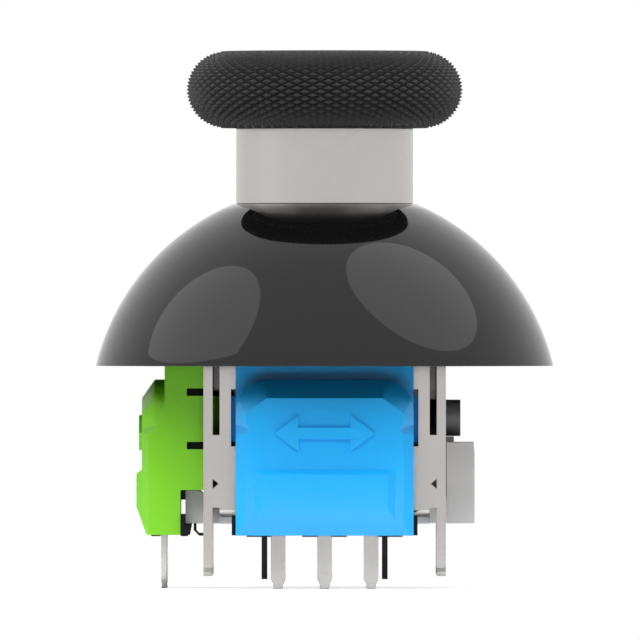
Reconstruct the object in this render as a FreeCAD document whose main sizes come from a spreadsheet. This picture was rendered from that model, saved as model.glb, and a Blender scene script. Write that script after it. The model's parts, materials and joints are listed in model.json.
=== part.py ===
# Analog stick module with its thumb cap, as it is soldered to a circuit board.
# Millimetres. X to the right, Y away from the front, Z up. The origin is under the stick's axis,
# level with the tips of the sensor pins. The front sensor faces -Y and the side sensor faces -X.
import FreeCAD, Part
import math
import os
import Sketcher
from types import SimpleNamespace
from FreeCAD import Placement, Rotation, Vector

doc = FreeCAD.newDocument("analog_stick")
sheet = doc.addObject("Spreadsheet::Sheet", "Sizes")
nodes = {}

# The driving sizes: name, value, and what it is.
DRIVING_SIZES = [
    ("board_gap", 2.83, "height of the seat on the circuit board above the pin tips"),
    ("run_gap", 0.04, "radial clearance of a shaft in its hole"),
    ("slip_gap", 0.05, "clearance of flat faces that slide or drop in"),

    ("frame_half", 6.53, "half the outer width of the steel frame"),
    ("sheet_thick", 0.5, "thickness of the frame's steel sheet"),
    ("frame_above", 1.4, "height of the frame's top face above the covers"),
    ("frame_lift", 0.44, "height of the frame's lower edge above the base's underside"),
    ("bend_radius", 0.6, "outer radius of the frame's bends"),
    ("top_hole_radius", 4.3, "opening in the frame's top for the lever"),
    ("corner_slit", 0.37, "slit between front plate and side plate"),
    ("slit_drop", 0.9, "the corner slits start this far under the tilt axes"),
    ("lip_back", 1.08, "how far the lip turns in from the frame's outer face"),
    ("lip_thick", 0.45, "thickness of the folded lip"),
    ("notch_half", 3.75, "half width of the notch in each plate's lower edge"),
    ("notch_high", 1.45, "height of the notch in each plate's lower edge"),
    ("snap_window_below", 1.51, "the windows for the cover's tongues start this far under the axes"),
    ("snap_window_above", 1.56, "the windows end this far above the axes"),
    ("snap_window_gap", 0.26, "gap of the windows beside the cover's tongues"),
    ("relief_high_lift", 1.98, "top of the three-sided relief above the frame's lower edge"),
    ("relief_low_lift", 1.46, "foot of the relief above the frame's lower edge"),
    ("relief_deep", 0.32, "depth of the relief"),
    ("leg_tip", 0.7, "height of the tips of the frame's legs"),
    ("bend_notch_high", 0.43, "height of the relief notches beside the legs"),
    ("leg_wide", 1.2, "width of a leg"),
    ("leg_taper", 0.22, "height and depth of the taper near the tip of a leg"),
    ("leg_tab", 0.23, "height of the narrow end of a leg"),

    ("floor_lift", 0.68, "height of the base's underside above the board"),
    ("floor_thick", 0.99, "thickness of the base's floor"),
    ("floor_back_x", 0.87, "the base's floor ends this far inside the frame's sides"),
    ("floor_back_y", 0.58, "the base's floor ends this far inside the frame's front and back"),
    ("pocket_floor_thick", 0.44, "floor under the spring's pocket"),
    ("pocket_radius", 3.2, "radius of the spring's pocket"),
    ("post_radius", 1.2, "radius of the post inside the spring"),
    ("post_high", 1.69, "height of the post inside the spring above the base's underside"),
    ("guide_gap", 0.2, "gap between the spring seat and the wall round it"),
    ("guide_wall", 0.6, "thickness of the wall that guides the spring seat"),
    ("guide_drop", 2.4, "that wall ends this far under the tilt axes"),
    ("lug_proud", 0.98, "how far a lug stands out of the frame"),
    ("lug_half", 3.6, "half width of a lug"),
    ("lug_high", 1.79, "height of a lug"),
    ("lug_clear", 1.3, "gap between a lug and the rotor's disc over it"),
    ("lug_round", 0.35, "rounding at a lug's inner top corner"),
    ("block_proud", 1.57, "how far the support block stands out of the frame"),
    ("block_half", 2.2, "half depth of the support block"),
    ("block_drop", 1.3, "the support block ends this far under the tilt axes"),
    ("block_bevel", 0.6, "height of the bevel at the block's outer top edge"),
    ("saddle_proud", 0.46, "how far the saddle stands out of the frame"),
    ("saddle_half", 1.0, "half depth of the saddle"),

    ("journal_radius", 0.985, "radius of the arms' free journals"),
    ("slot_half", 1.05, "half width of the slots that the journals run in"),
    ("bar_radius", 1.3, "radius of the bars between arm and journal"),
    ("bar_back", 1.68, "a bar ends this far inside the frame's outer face"),
    ("tongue_back", 0.55, "a tongue ends this far inside the frame's outer face"),
    ("tongue_wide", 1.9, "width of the tongue that turns a rotor"),
    ("tongue_thick", 1.0, "thickness of the tongue that turns a rotor"),
    ("ring_half_x", 2.55, "half width of the lower arm's ring"),
    ("ring_half_y", 2.9, "half depth of the lower arm's ring"),
    ("ring_half_z", 1.05, "half height of the lower arm's ring"),
    ("window_half_x", 1.25, "half width of the ring's window"),
    ("window_half_y", 1.75, "half depth of the ring's window"),
    ("keel_half", 1.0, "half width of the keels that press on the spring seat"),
    ("keel_deep", 2.0, "depth of the keels under the axis"),
    ("keel_inner", 1.9, "where the lower arm's keels begin"),
    ("lower_journal_proud", 2.47, "how far the lower arm's journal stands out of the frame"),
    ("lower_journal_start", 5.0, "start of the lower arm's journal"),
    ("arch_inner", 3.1, "inner radius of the upper arm's arch"),
    ("arch_outer", 3.9, "outer radius of the upper arm's arch"),
    ("arch_half", 2.0, "half width of the arch"),
    ("arch_leg", 1.1, "how far the arch's legs reach below the axis"),
    ("arch_slot_half_x", 2.75, "half length of the arch's slot"),
    ("arch_slot_half_y", 1.55, "half width of the arch's slot"),
    ("upper_journal_proud", 0.81, "how far the upper arm's journal stands out of the frame"),

    ("lever_half", 1.2, "half width of the lever's square foot"),
    ("lever_foot", 1.6, "how far the lever reaches below the axis"),
    ("lever_radius", 1.25, "radius of the lever's round shank"),
    ("shank_start", 1.9, "height of the shank's start above the axis"),
    ("foot_shoulder", 0.3, "height of the cone between the lever's foot and its shank"),
    ("head_long", 7.5, "length of the lever's head"),
    ("head_shoulder", 0.5, "height of the cone under the head"),
    ("head_radius", 2.0, "radius of the lever's head"),
    ("head_flat", 1.5, "distance of the head's flats from its axis"),
    ("socket_roof", 3.7, "plastic between the lever's end and the top of the cap's disc"),
    ("pin_radius", 0.5, "radius of the lever's cross pin"),

    ("seat_gap", 0.3, "gap between the keels and the spring seat"),
    ("seat_radius", 4.4, "radius of the spring seat"),
    ("seat_thick", 0.6, "thickness of the spring seat"),
    ("seat_skirt", 0.7, "wall of the spring seat's skirt"),
    ("seat_skirt_gap", 0.8, "gap between the skirt and the base's floor"),
    ("seat_hole", 1.5, "radius of the hole in the spring seat"),
    ("spring_radius", 2.6, "mean radius of the return spring"),
    ("spring_wire", 0.42, "diameter of the spring's wire"),
    ("spring_turns", 3.5, "turns of the spring"),
    ("spring_sides", 8, "flat sides that stand for the wire's round section in this model"),

    ("boss_radius", 1.5, "radius of a rotor's boss"),
    ("boss_deep", 1.6, "how far a rotor's boss reaches into the frame"),
    ("disc_radius", 2.6, "radius of a rotor's disc"),
    ("disc_start", 0.2, "gap between the frame and a rotor's disc"),
    ("disc_thick", 0.65, "thickness of a rotor's disc"),
    ("magnet_radius", 1.7, "radius of a magnet"),
    ("magnet_thick", 0.48, "thickness of a magnet"),
    ("rotor_slot_end", 0.45, "how far inside the frame a rotor's slot ends"),

    ("cover_half", 4.78, "half width of a sensor cover"),
    ("cover_wall", 0.6, "wall of a sensor cover's sides"),
    ("cover_lift", 0.07, "height of the covers' lower edge above the board"),
    ("cover_head", 0.8, "height of the covers above their rotors' discs"),
    ("cover_notch_gap", 0.02, "gap between the cover's notch and the base's lug"),
    ("cover_notch_reach", 1.24, "depth of the cover's notch over the base's lug"),
    ("box_wall", 0.48, "wall of the cover's box in front of the sensor board"),
    ("pad_drop", 1.33, "the raised pad starts this far under the cover's top"),
    ("pad_edge_proud", 0.54, "how far the pad's top edge stands out of the box"),
    ("pad_slope", 0.99, "height of the pad's sloping top"),
    ("pad_corner", 1.65, "radius of the pad's top corners"),
    ("pad_front_proud", 0.69, "how far the pad's front stands out of its top edge"),
    ("hem_high", 0.7, "height of the hem over which the cover's front turns in"),
    ("belly_proud", 0.3, "how far the belly stands out of the pad"),
    ("belly_slope", 0.26, "height of the belly's sloping upper side"),
    ("belly_high", 1.76, "height of the belly's front"),
    ("belly_lift", 1.52, "height of the belly's front above the cover's lower edge"),
    ("belly_side", 1.0, "the belly leaves the pad this far inside the cover's side"),
    ("belly_side_slope", 0.4, "width of the belly's sloping sides"),
    ("hem_back", 0.26, "how far the cover's front turns in at its hem"),
    ("side_bevel_deep", 0.36, "depth of the side bevel"),
    ("side_bevel_wide", 0.54, "width of the side bevel"),
    ("upper_bevel_wide", 0.53, "width of the side bevel higher up, where it is as deep as the pad"),
    ("bevel_change", 0.64, "height over which the side bevel gets deeper"),
    ("bevel_drop", 1.28, "the deeper side bevel starts this far under the pad's slope"),
    ("facet_foot_drop", 0.83, "a facet on the pad's corner starts on the bevel this far under the slope"),
    ("facet_side", 1.29, "where the facet meets the slope's foot, inside the cover's side"),
    ("facet_drop", 0.26, "that point's distance under the slope's foot"),
    ("facet_top_side", 0.28, "the facet's top on the pad's round corner, inside the cover's side"),
    ("facet_top_lift", 0.11, "height of that top above the slope's foot"),
    ("facet_top_proud", 0.116, "how far that top stands out of the pad's top edge"),
    ("front_wall", 0.58, "wall of a cover's front"),
    ("tongue_low_gap", 0.23, "gap between the window's lower edge and the snap tongue"),
    ("tongue_high_gap", 0.36, "gap between the snap tongue and the window's upper edge"),
    ("tongue_slot", 0.4, "width of the slots beside the snap tongue"),
    ("tongue_slot_reach", 0.9, "length of the slots beside the snap tongue"),
    ("barb_long", 0.42, "length of the barb behind the frame's sheet"),
    ("barb_proud", 0.44, "how far the barb stands out of the tongue's side"),
    ("mark_half", 2.7, "half length of the raised axis mark"),
    ("mark_drop", 1.88, "the raised axis mark is this far under the pad's slope"),
    ("mark_head", 0.95, "half height of the mark's arrow heads"),
    ("mark_bar", 0.3, "half thickness of the mark's bar"),
    ("mark_head_long", 1.3, "length of the mark's arrow heads"),
    ("mark_proud", 0.17, "how far the mark stands proud"),

    ("chip_clear", 0.17, "gap between the rotor's disc and the sensor chip"),
    ("board_thick", 0.4, "thickness of the sensor board"),
    ("board_side_gap", 0.88, "the sensor board ends this far inside the cover's side"),
    ("board_lift", 0.49, "height of the sensor board's lower edge above the base's underside"),
    ("board_drop", 2.1, "the sensor board ends this far under the cover's top"),
    ("chip_thick", 0.55, "thickness of the sensor chip"),
    ("chip_half_wide", 1.45, "half width of the sensor chip"),
    ("chip_half_high", 0.8, "half height of the sensor chip"),
    ("back_window", 2.9, "radius of the back plate's opening for the rotor"),
    ("bar_past", 0.22, "how far the back plate's lower bar passes the cover's side"),
    ("bar_high", 0.47, "top of the back plate's lower bar above the base's underside"),
    ("bar_inner", 0.65, "inner edge of the back plate's lower bar"),
    ("foot_wide", 1.3, "width of the back plate's outer feet"),
    ("foot_side", 1.88, "the outer feet start this far inside the cover's side"),
    ("foot_inner_wide", 0.8, "width of the back plate's inner feet"),
    ("foot_inner_start", 0.4, "where the inner feet start"),
    ("foot_back", 0.24, "the feet end this far behind the cover's hem"),
    ("foot_deep", 0.5, "depth of the feet"),
    ("heel_deep", 0.38, "depth of the feet under the lower bar"),
    ("bar_lean", 0.1, "how far the lower bar's inner face leans back at its foot"),
    ("lug_step", 0.5, "height of the back plate's step over a lug"),
    ("hook_thick", 0.15, "thickness of the small hook under the lug"),
    ("hook_reach", 0.55, "how far outside the frame the hook hangs down"),
    ("hook_round", 0.3, "outer radius of the hook's bend"),

    ("pin_pitch", 2.5, "pitch of the sensor pins"),
    ("pin_wide", 0.8, "width of a sensor pin"),
    ("pin_thick", 0.32, "thickness of a sensor pin"),
    ("pin_lift", 2.09, "upper end of a sensor pin above the base's underside"),
    ("pin_taper", 0.61, "length of a sensor pin's taper"),
    ("pin_tip_wide", 0.42, "width of a sensor pin's tip"),

    ("switch_half", 3.115, "half width of the push switch"),
    ("switch_gap", 0.03, "gap between the frame and the push switch"),
    ("switch_deep", 3.38, "depth of the push switch"),
    ("switch_drop", 2.3, "the push switch's body ends this far under the tilt axes"),
    ("shield_thick", 0.2, "thickness of the switch's steel cover"),
    ("shield_drop", 1.6, "how far the steel cover's tabs reach down"),
    ("shield_tab_half", 1.0, "half width of the steel cover's tabs"),
    ("dome_room_radius", 1.5, "hollow of the switch around its snap dome"),
    ("dome_room_lift", 1.19, "floor of that hollow above the base's underside"),
    ("snap_dome_radius", 1.4, "radius of the snap dome"),
    ("snap_dome_rise", 0.6, "height of the snap dome"),
    ("snap_dome_thick", 0.1, "thickness of the snap dome"),
    ("plunger_radius", 0.95, "radius of the plunger"),
    ("plunger_flange", 1.3, "radius of the plunger's flange"),
    ("plunger_flange_drop", 0.9, "top of the plunger's flange under the switch's top"),
    ("plunger_crown", 0.25, "height of the plunger's domed end"),
    ("terminal_thick", 0.31, "thickness of a switch pin"),
    ("terminal_wide", 0.7, "width of a switch pin"),
    ("terminal_pitch", 2.3, "pitch of the switch pins"),
    ("terminal_tip", 0.41, "height of the tips of the switch pins"),
    ("terminal_lift", 0.79, "upper end of a switch pin above the base's underside"),

    ("dome_gap", 1.601, "clearance of the dome's rim from the covers' top corners"),
    ("dome_wall", 0.9, "wall of the dome"),
    ("dome_drop", 2.0, "the dome's rim hangs this far below the frame's top"),
    ("dome_fall", 2.97, "height of the dome's rim above the centre of its sphere"),
    ("ledge_radius", 4.98, "radius of the dome's top, which the collar stands on"),
    ("collar_high", 4.1, "height of the steel collar"),
    ("collar_radius", 4.785, "radius of the steel collar"),
    ("collar_wall", 0.6, "wall of the steel collar"),
    ("grip_thick", 4.17, "height of the thumb grip"),
    ("grip_radius", 7.485, "radius of the thumb grip over its knurl"),
    ("grip_flat", 5.45, "radius of the grip's flat faces"),
    ("dish_radius", 5.15, "radius of the dish in the grip's top"),
    ("dish_deep", 1.2, "depth of the dish in the grip's top"),
    ("knurl_deep", 0.3, "depth of the knurl"),
    ("knurl_columns", 53, "diamonds round the grip"),
    ("knurl_rows", 8, "rows of diamonds over the grip's edge in this model, half the real number"),
    ("core_radius", 5.6, "radius of the disc inside the grip"),
    ("core_floor", 0.6, "rubber under the disc inside the grip"),
    ("core_roof", 0.63, "rubber between that disc and the dish"),
    ("stem_radius", 2.9, "radius of the cap's stem"),
    ("stem_gap", 2.6, "height of the stem's end above the frame's top"),
]


# A size knows its number and the sum of sheet cells that gives it, so that a sketch can be drawn
# from the number and bound to the sum.
class Size:
    def __init__(self, number, text):
        self.number = number
        self.text = text

    def __add__(self, other):
        return Size(self.number + as_size(other).number, "(%s + %s)" % (self.text, as_size(other).text))

    def __sub__(self, other):
        return Size(self.number - as_size(other).number, "(%s - %s)" % (self.text, as_size(other).text))

    def __mul__(self, other):
        return Size(self.number * as_size(other).number, "(%s * %s)" % (self.text, as_size(other).text))

    def __truediv__(self, other):
        return Size(self.number / as_size(other).number, "(%s / %s)" % (self.text, as_size(other).text))

    def __radd__(self, other):
        return as_size(other) + self

    def __rsub__(self, other):
        return as_size(other) - self

    def __rmul__(self, other):
        return as_size(other) * self

    def __neg__(self):
        return as_size(0) - self


def as_size(value):
    if isinstance(value, Size):
        return value
    return Size(float(value), repr(value))


def root(size):
    return Size(math.sqrt(size.number), "sqrt(%s)" % size.text)


def fill_sheet():
    sizes = SimpleNamespace()
    for row, (name, value, meaning) in enumerate(DRIVING_SIZES, start=1):
        sheet.set("A%d" % row, meaning)
        sheet.set("B%d" % row, str(value))
        sheet.setAlias("B%d" % row, name)
        setattr(sizes, name, Size(float(value), "Sizes." + name))
    doc.recompute()
    return sizes


def place_sizes(sizes):
    """The places that follow from the driving sizes, each as a sum of their cells."""
    # Heights, from the circuit board up.
    sizes.floor_foot = sizes.board_gap + sizes.floor_lift
    sizes.floor_top = sizes.floor_foot + sizes.floor_thick
    sizes.pocket_floor = sizes.floor_foot + sizes.pocket_floor_thick
    sizes.post_top = sizes.floor_foot + sizes.post_high
    sizes.lug_top = sizes.floor_foot + sizes.lug_high
    sizes.pivot_height = sizes.lug_top + sizes.lug_clear + sizes.disc_radius
    sizes.guide_inner = sizes.seat_radius + sizes.guide_gap
    sizes.guide_top = sizes.pivot_height - sizes.guide_drop
    sizes.block_top = sizes.pivot_height - sizes.block_drop
    sizes.cover_foot = sizes.board_gap + sizes.cover_lift
    sizes.cover_top = sizes.pivot_height + sizes.disc_radius + sizes.cover_head
    sizes.frame_foot = sizes.floor_foot + sizes.frame_lift
    sizes.frame_top = sizes.cover_top + sizes.frame_above
    sizes.slit_foot = sizes.pivot_height - sizes.slit_drop
    sizes.notch_top = sizes.frame_foot + sizes.notch_high
    sizes.relief_low = sizes.frame_foot + sizes.relief_low_lift
    sizes.relief_high = sizes.frame_foot + sizes.relief_high_lift
    sizes.bend_notch_top = sizes.frame_foot + sizes.bend_notch_high
    sizes.snap_window_low = sizes.pivot_height - sizes.snap_window_below
    sizes.snap_window_high = sizes.pivot_height + sizes.snap_window_above
    sizes.bar_top = sizes.floor_foot + sizes.bar_high
    sizes.board_low = sizes.floor_foot + sizes.board_lift
    sizes.pin_top = sizes.floor_foot + sizes.pin_lift
    sizes.switch_top = sizes.pivot_height - sizes.switch_drop
    sizes.dome_room_floor = sizes.floor_foot + sizes.dome_room_lift
    sizes.plunger_flange_top = sizes.switch_top - sizes.plunger_flange_drop
    sizes.terminal_top = sizes.floor_foot + sizes.terminal_lift
    # Widths and depths, from the frame out.
    sizes.lip_inner = sizes.frame_half - sizes.lip_back
    sizes.leg_inner = sizes.frame_half - sizes.leg_wide
    sizes.snap_window_half = sizes.cover_half + sizes.snap_window_gap
    sizes.floor_half_x = sizes.frame_half - sizes.floor_back_x
    sizes.floor_half_y = sizes.frame_half - sizes.floor_back_y
    sizes.lug_reach = sizes.frame_half + sizes.lug_proud
    sizes.block_reach = sizes.frame_half + sizes.block_proud
    sizes.saddle_reach = sizes.frame_half + sizes.saddle_proud
    sizes.bar_reach = sizes.frame_half - sizes.bar_back
    sizes.tongue_reach = sizes.frame_half - sizes.tongue_back
    sizes.lower_journal_end = sizes.frame_half + sizes.lower_journal_proud
    sizes.upper_journal_end = sizes.frame_half + sizes.upper_journal_proud
    sizes.switch_start = sizes.frame_half + sizes.switch_gap
    # A cover's depth follows from the rotor, the chip and the board that it houses.
    sizes.board_face = sizes.disc_start + sizes.disc_thick + sizes.chip_clear + sizes.chip_thick
    sizes.box_reach = sizes.board_face + sizes.slip_gap + sizes.box_wall
    sizes.pad_edge_reach = sizes.box_reach + sizes.pad_edge_proud
    sizes.pad_reach = sizes.pad_edge_reach + sizes.pad_front_proud
    sizes.hem_reach = sizes.pad_reach - sizes.hem_back
    sizes.side_bevel_start = sizes.pad_reach - sizes.side_bevel_deep
    sizes.upper_bevel_start = sizes.pad_edge_reach
    sizes.side_bevel_half = sizes.cover_half - sizes.side_bevel_wide
    sizes.upper_bevel_half = sizes.cover_half - sizes.upper_bevel_wide
    sizes.top_inner_side = sizes.cover_half - sizes.pad_corner - sizes.front_wall / 2
    sizes.bar_half = sizes.cover_half + sizes.bar_past
    sizes.foot_start = sizes.cover_half - sizes.foot_side
    sizes.foot_reach = sizes.hem_reach - sizes.foot_back
    # The pad hangs from the cover's top, and the belly and the hem stand on its lower edge.
    sizes.hem_start = sizes.cover_foot + sizes.hem_high
    sizes.belly_low = sizes.cover_foot + sizes.belly_lift
    sizes.belly_edge = sizes.belly_low + sizes.belly_high
    sizes.belly_top = sizes.belly_edge + sizes.belly_slope
    sizes.belly_half = sizes.cover_half - sizes.belly_side
    sizes.belly_front_half = sizes.belly_half - sizes.belly_side_slope
    sizes.cover_notch_top = sizes.lug_top + sizes.cover_notch_gap
    sizes.pad_top = sizes.cover_top - sizes.pad_drop
    sizes.pad_slope_foot = sizes.pad_top - sizes.pad_slope
    sizes.bevel_change_high = sizes.pad_slope_foot - sizes.bevel_drop
    sizes.bevel_change_low = sizes.bevel_change_high - sizes.bevel_change
    sizes.mark_height = sizes.pad_slope_foot - sizes.mark_drop
    sizes.tongue_low = sizes.snap_window_low + sizes.tongue_low_gap
    sizes.tongue_high = sizes.snap_window_high - sizes.tongue_high_gap
    sizes.board_half = sizes.cover_half - sizes.board_side_gap
    sizes.board_high = sizes.cover_top - sizes.board_drop
    # The dome clears the covers' corners, and the collar, the grip and the lever's head stand on it.
    box_front = sizes.frame_half + sizes.box_reach
    rim_radius = root(sizes.cover_half * sizes.cover_half + box_front * box_front) + sizes.dome_gap
    sizes.dome_rim = sizes.frame_top - sizes.dome_drop
    sizes.sphere_height = sizes.dome_rim - sizes.dome_fall
    sizes.inner_sphere = root(rim_radius * rim_radius + sizes.dome_fall * sizes.dome_fall)
    sizes.outer_sphere = sizes.inner_sphere + sizes.dome_wall
    sizes.collar_foot = sizes.sphere_height + root(
        sizes.outer_sphere * sizes.outer_sphere - sizes.ledge_radius * sizes.ledge_radius)
    sizes.grip_foot = sizes.collar_foot + sizes.collar_high
    sizes.grip_top = sizes.grip_foot + sizes.grip_thick
    sizes.core_foot = sizes.grip_foot + sizes.core_floor
    sizes.core_top = sizes.grip_top - sizes.dish_deep - sizes.core_roof
    sizes.stem_foot = sizes.frame_top + sizes.stem_gap
    sizes.head_end = sizes.core_top - sizes.socket_roof
    sizes.head_start = sizes.head_end - sizes.head_long


d = fill_sheet()
place_sizes(d)


# Sketches and solid features of a body.

def new_body(name):
    body = doc.addObject("PartDesign::Body", name)
    body.Label = name
    return body


def draw(body, plane, corners, offset=0):
    """Sketch a closed outline on an origin plane. A corner is (x, y), or (x, y, radius, turn) where
    an arc leads to it, with turn 1 for counter-clockwise and -1 for clockwise."""
    sketch = body.newObject("Sketcher::SketchObject", body.Name + "_outline")
    base_plane = [item for item in body.Origin.OriginFeatures if item.Role == plane][0]
    sketch.AttachmentSupport = [(base_plane, "")]
    sketch.MapMode = "FlatFace"
    sketch.setExpression("AttachmentOffset.Base.z", as_size(offset).text)
    points = [(as_size(corner[0]), as_size(corner[1])) for corner in corners]
    ends = []
    for index, (x, y) in enumerate(points):
        start = Vector(x.number, y.number, 0)
        following = (index + 1) % len(points)
        stop = Vector(points[following][0].number, points[following][1].number, 0)
        if len(corners[following]) == 2:
            sketch.addGeometry(Part.LineSegment(start, stop))
            ends.append((1, 2))
        else:
            radius, turn = corners[following][2:]
            sketch.addGeometry(arc_between(start, stop, as_size(radius).number, turn))
            ends.append((1, 2) if turn > 0 else (2, 1))
            number = sketch.addConstraint(Sketcher.Constraint("Radius", index, as_size(radius).number))
            sketch.setExpression("Constraints[%d]" % number, as_size(radius).text)
    for index, (x, y) in enumerate(points):
        following = (index + 1) % len(points)
        join = Sketcher.Constraint("Coincident", index, ends[index][1], following, ends[following][0])
        sketch.addConstraint(join)
        for direction, size in (("DistanceX", x), ("DistanceY", y)):
            fixed = Sketcher.Constraint(direction, -1, 1, index, ends[index][0], size.number)
            number = sketch.addConstraint(fixed)
            sketch.setExpression("Constraints[%d]" % number, size.text)
    return sketch


def arc_between(start, stop, radius, turn):
    chord = stop - start
    side = Vector(-chord.y, chord.x, 0)
    side.normalize()
    to_centre = math.sqrt(max(0, radius ** 2 - (chord.Length / 2) ** 2))
    centre = (start + stop) * 0.5 + side * (to_centre * turn)
    first = start if turn > 0 else stop
    last = stop if turn > 0 else start
    first_angle = math.atan2(first.y - centre.y, first.x - centre.x)
    last_angle = math.atan2(last.y - centre.y, last.x - centre.x)
    return Part.ArcOfCircle(Part.Circle(centre, Vector(0, 0, 1), radius), first_angle, last_angle)


def pad(body, plane, corners, length, offset=0, both_ways=False):
    """Add the outline's solid, from the plane's offset along its normal or both ways from it."""
    feature_sketch = draw(body, plane, corners, offset)
    feature = body.newObject("PartDesign::Pad", body.Name + "_pad")
    feature.Profile = feature_sketch
    feature.Midplane = both_ways
    feature.setExpression("Length", as_size(length).text)
    return feature


def pocket(body, plane, corners, length, offset=0, both_ways=False):
    """Cut the outline's solid away, from the plane's offset along its normal or both ways from it."""
    feature_sketch = draw(body, plane, corners, offset)
    feature = body.newObject("PartDesign::Pocket", body.Name + "_pocket")
    feature.Profile = feature_sketch
    feature.Reversed = not both_ways
    feature.Midplane = both_ways
    feature.setExpression("Length", as_size(length).text)
    return feature


def revolve(body, corners, kind="Revolution"):
    """Turn an outline, given as radius and height, a full turn about Z."""
    feature_sketch = draw(body, "XZ_Plane", corners)
    feature = body.newObject("PartDesign::" + kind, body.Name + "_turned")
    feature.Profile = feature_sketch
    feature.ReferenceAxis = (feature_sketch, ["V_Axis"])
    feature.Angle = 360
    return feature


def rectangle(low_x, high_x, low_y, high_y):
    return [(low_x, low_y), (high_x, low_y), (high_x, high_y), (low_x, high_y)]


# Plain solids and how they are joined or cut.

def move(thing, x, y, z):
    thing.setExpression("Placement.Base.x", as_size(x).text)
    thing.setExpression("Placement.Base.y", as_size(y).text)
    thing.setExpression("Placement.Base.z", as_size(z).text)


def block(name, x, y, z):
    """A box from its lowest to its highest size along each axis."""
    box = doc.addObject("Part::Box", name)
    for side, (low, high) in (("Length", x), ("Width", y), ("Height", z)):
        box.setExpression(side, (as_size(high) - low).text)
    move(box, x[0], y[0], z[0])
    return box


TURNED_TO = {"X": Rotation(Vector(0, 1, 0), 90), "Y": Rotation(Vector(1, 0, 0), -90), "Z": Rotation()}


def rod(name, axis, start, length, radius):
    """A round rod from its start point along an axis."""
    cylinder = doc.addObject("Part::Cylinder", name)
    cylinder.setExpression("Radius", as_size(radius).text)
    cylinder.setExpression("Height", as_size(length).text)
    cylinder.Placement = Placement(Vector(), TURNED_TO[axis])
    move(cylinder, *start)
    return cylinder


def join(name, pieces):
    union = doc.addObject("Part::MultiFuse", name)
    union.Shapes = pieces
    union.Refine = True
    return union


def cut(name, base, tools):
    result = doc.addObject("Part::Cut", name)
    result.Base = base
    result.Tool = tools[0] if len(tools) == 1 else join(name + "_cutters", tools)
    result.Refine = True
    return result


def keep(name, thing, turn=0):
    """Name a finished piece, turned about Z to the side it faces."""
    if turn:
        turned = doc.addObject("Part::Compound", name + "_turned")
        turned.Links = [thing]
        turned.Placement = Placement(Vector(), Rotation(Vector(0, 0, 1), turn))
        thing = turned
    thing.Label = name
    nodes[name] = thing


def mirrored_pair(low, high):
    return ((low, high), (-high, -low))


# Steel frame: one sheet folded to a box that is open below, with slits at the front and back
# corners, windows and slots in its plates, lips under the base and four legs.

def make_frame():
    inner = d.frame_half - d.sheet_thick
    outer = (-d.frame_half, d.frame_half)
    shell = block("frame_shell", outer, outer, (d.frame_foot, d.frame_top))
    bent = doc.addObject("Part::Fillet", "frame_bends")
    bent.Base = shell
    doc.recompute()
    top_edges = [n + 1 for n, edge in enumerate(shell.Shape.Edges)
                 if edge.BoundBox.ZMin > d.frame_top.number - 0.01]
    bent.Edges = [(n, d.bend_radius.number, d.bend_radius.number) for n in top_edges]
    hollow = (-inner, inner)
    cutters = [block("frame_hollow", hollow, hollow, (0, d.frame_top - d.sheet_thick))]
    cutters.append(rod("frame_top_hole", "Z", (0, 0, d.frame_top - 2 * d.sheet_thick),
                       3 * d.sheet_thick, d.top_hole_radius))

    bearing_radius = d.boss_radius + 2 * d.run_gap
    cutters.append(rod("frame_front_hole", "Y", (0, -d.frame_half - 1, d.pivot_height), 2, bearing_radius))
    cutters.append(rod("frame_side_hole", "X", (-d.frame_half - 1, 0, d.pivot_height), 2, bearing_radius))
    cutters.append(rod("frame_back_slot_top", "Y", (0, inner - 1, d.pivot_height), 3, d.slot_half))
    cutters.append(rod("frame_right_slot_top", "X", (inner - 1, 0, d.pivot_height), 3, d.slot_half))
    slot_height = (0, d.pivot_height)
    slot = (-d.slot_half, d.slot_half)
    through = (inner - 1, d.frame_half + 1)
    cutters.append(block("frame_back_slot", slot, through, slot_height))
    cutters.append(block("frame_right_slot", through, slot, slot_height))

    notch = (-d.notch_half, d.notch_half)
    across = (-d.frame_half - 1, d.frame_half + 1)
    cutters.append(block("frame_notch_y", notch, across, (0, d.notch_top)))
    cutters.append(block("frame_notch_x", across, notch, (0, d.notch_top)))

    window_low = d.cover_half - d.cover_wall - d.slip_gap
    window_height = (d.snap_window_low, d.snap_window_high)
    for number, span in enumerate(mirrored_pair(window_low, d.snap_window_half)):
        outside = (-d.frame_half - 1, -inner + d.slip_gap)
        cutters.append(block("frame_front_window_%d" % number, span, outside, window_height))
        cutters.append(block("frame_side_window_%d" % number, outside, span, window_height))
    slit_height = (d.slit_foot, d.frame_top - 2 * d.sheet_thick)
    for number, span in enumerate(mirrored_pair(inner - d.corner_slit, inner)):
        cutters.append(block("frame_front_slit_%d" % number, span, (-d.frame_half - 1, -inner), slit_height))
        cutters.append(block("frame_bend_notch_%d" % number, span, across, (0, d.bend_notch_top)))
    for number, side in enumerate((-1, 1)):
        cutters.append(frame_relief("frame_relief_%d" % number, side, inner))
    walls = cut("frame_walls", bent, cutters)

    pieces = [walls]
    leg_height = (d.leg_tip, d.frame_foot + d.sheet_thick)
    for side, x in enumerate(mirrored_pair(inner, d.frame_half)):
        for end, sign in enumerate((-1, 1)):
            pieces.append(frame_leg("frame_leg_%d%d" % (side, end), x, sign, leg_height))
    lip_height = (d.frame_foot, d.frame_foot + d.lip_thick)
    for number, x in enumerate(mirrored_pair(d.notch_half, inner - d.corner_slit)):
        pieces.append(block("frame_front_lip_%d" % number, x, (-d.frame_half, -d.lip_inner), lip_height))
        pieces.append(block("frame_back_lip_%d" % number, x, (d.lip_inner, d.frame_half), lip_height))
    keep("frame", join("frame", pieces))


def frame_relief(name, side, inner):
    body = new_body(name)
    corners = [(side * inner, d.relief_low), (side * inner, d.relief_high),
               (side * (inner - d.relief_deep), (d.relief_low + d.relief_high) / 2)]
    pad(body, "XZ_Plane", corners, 2 * d.sheet_thick, offset=inner - d.sheet_thick / 2)
    return body


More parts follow.
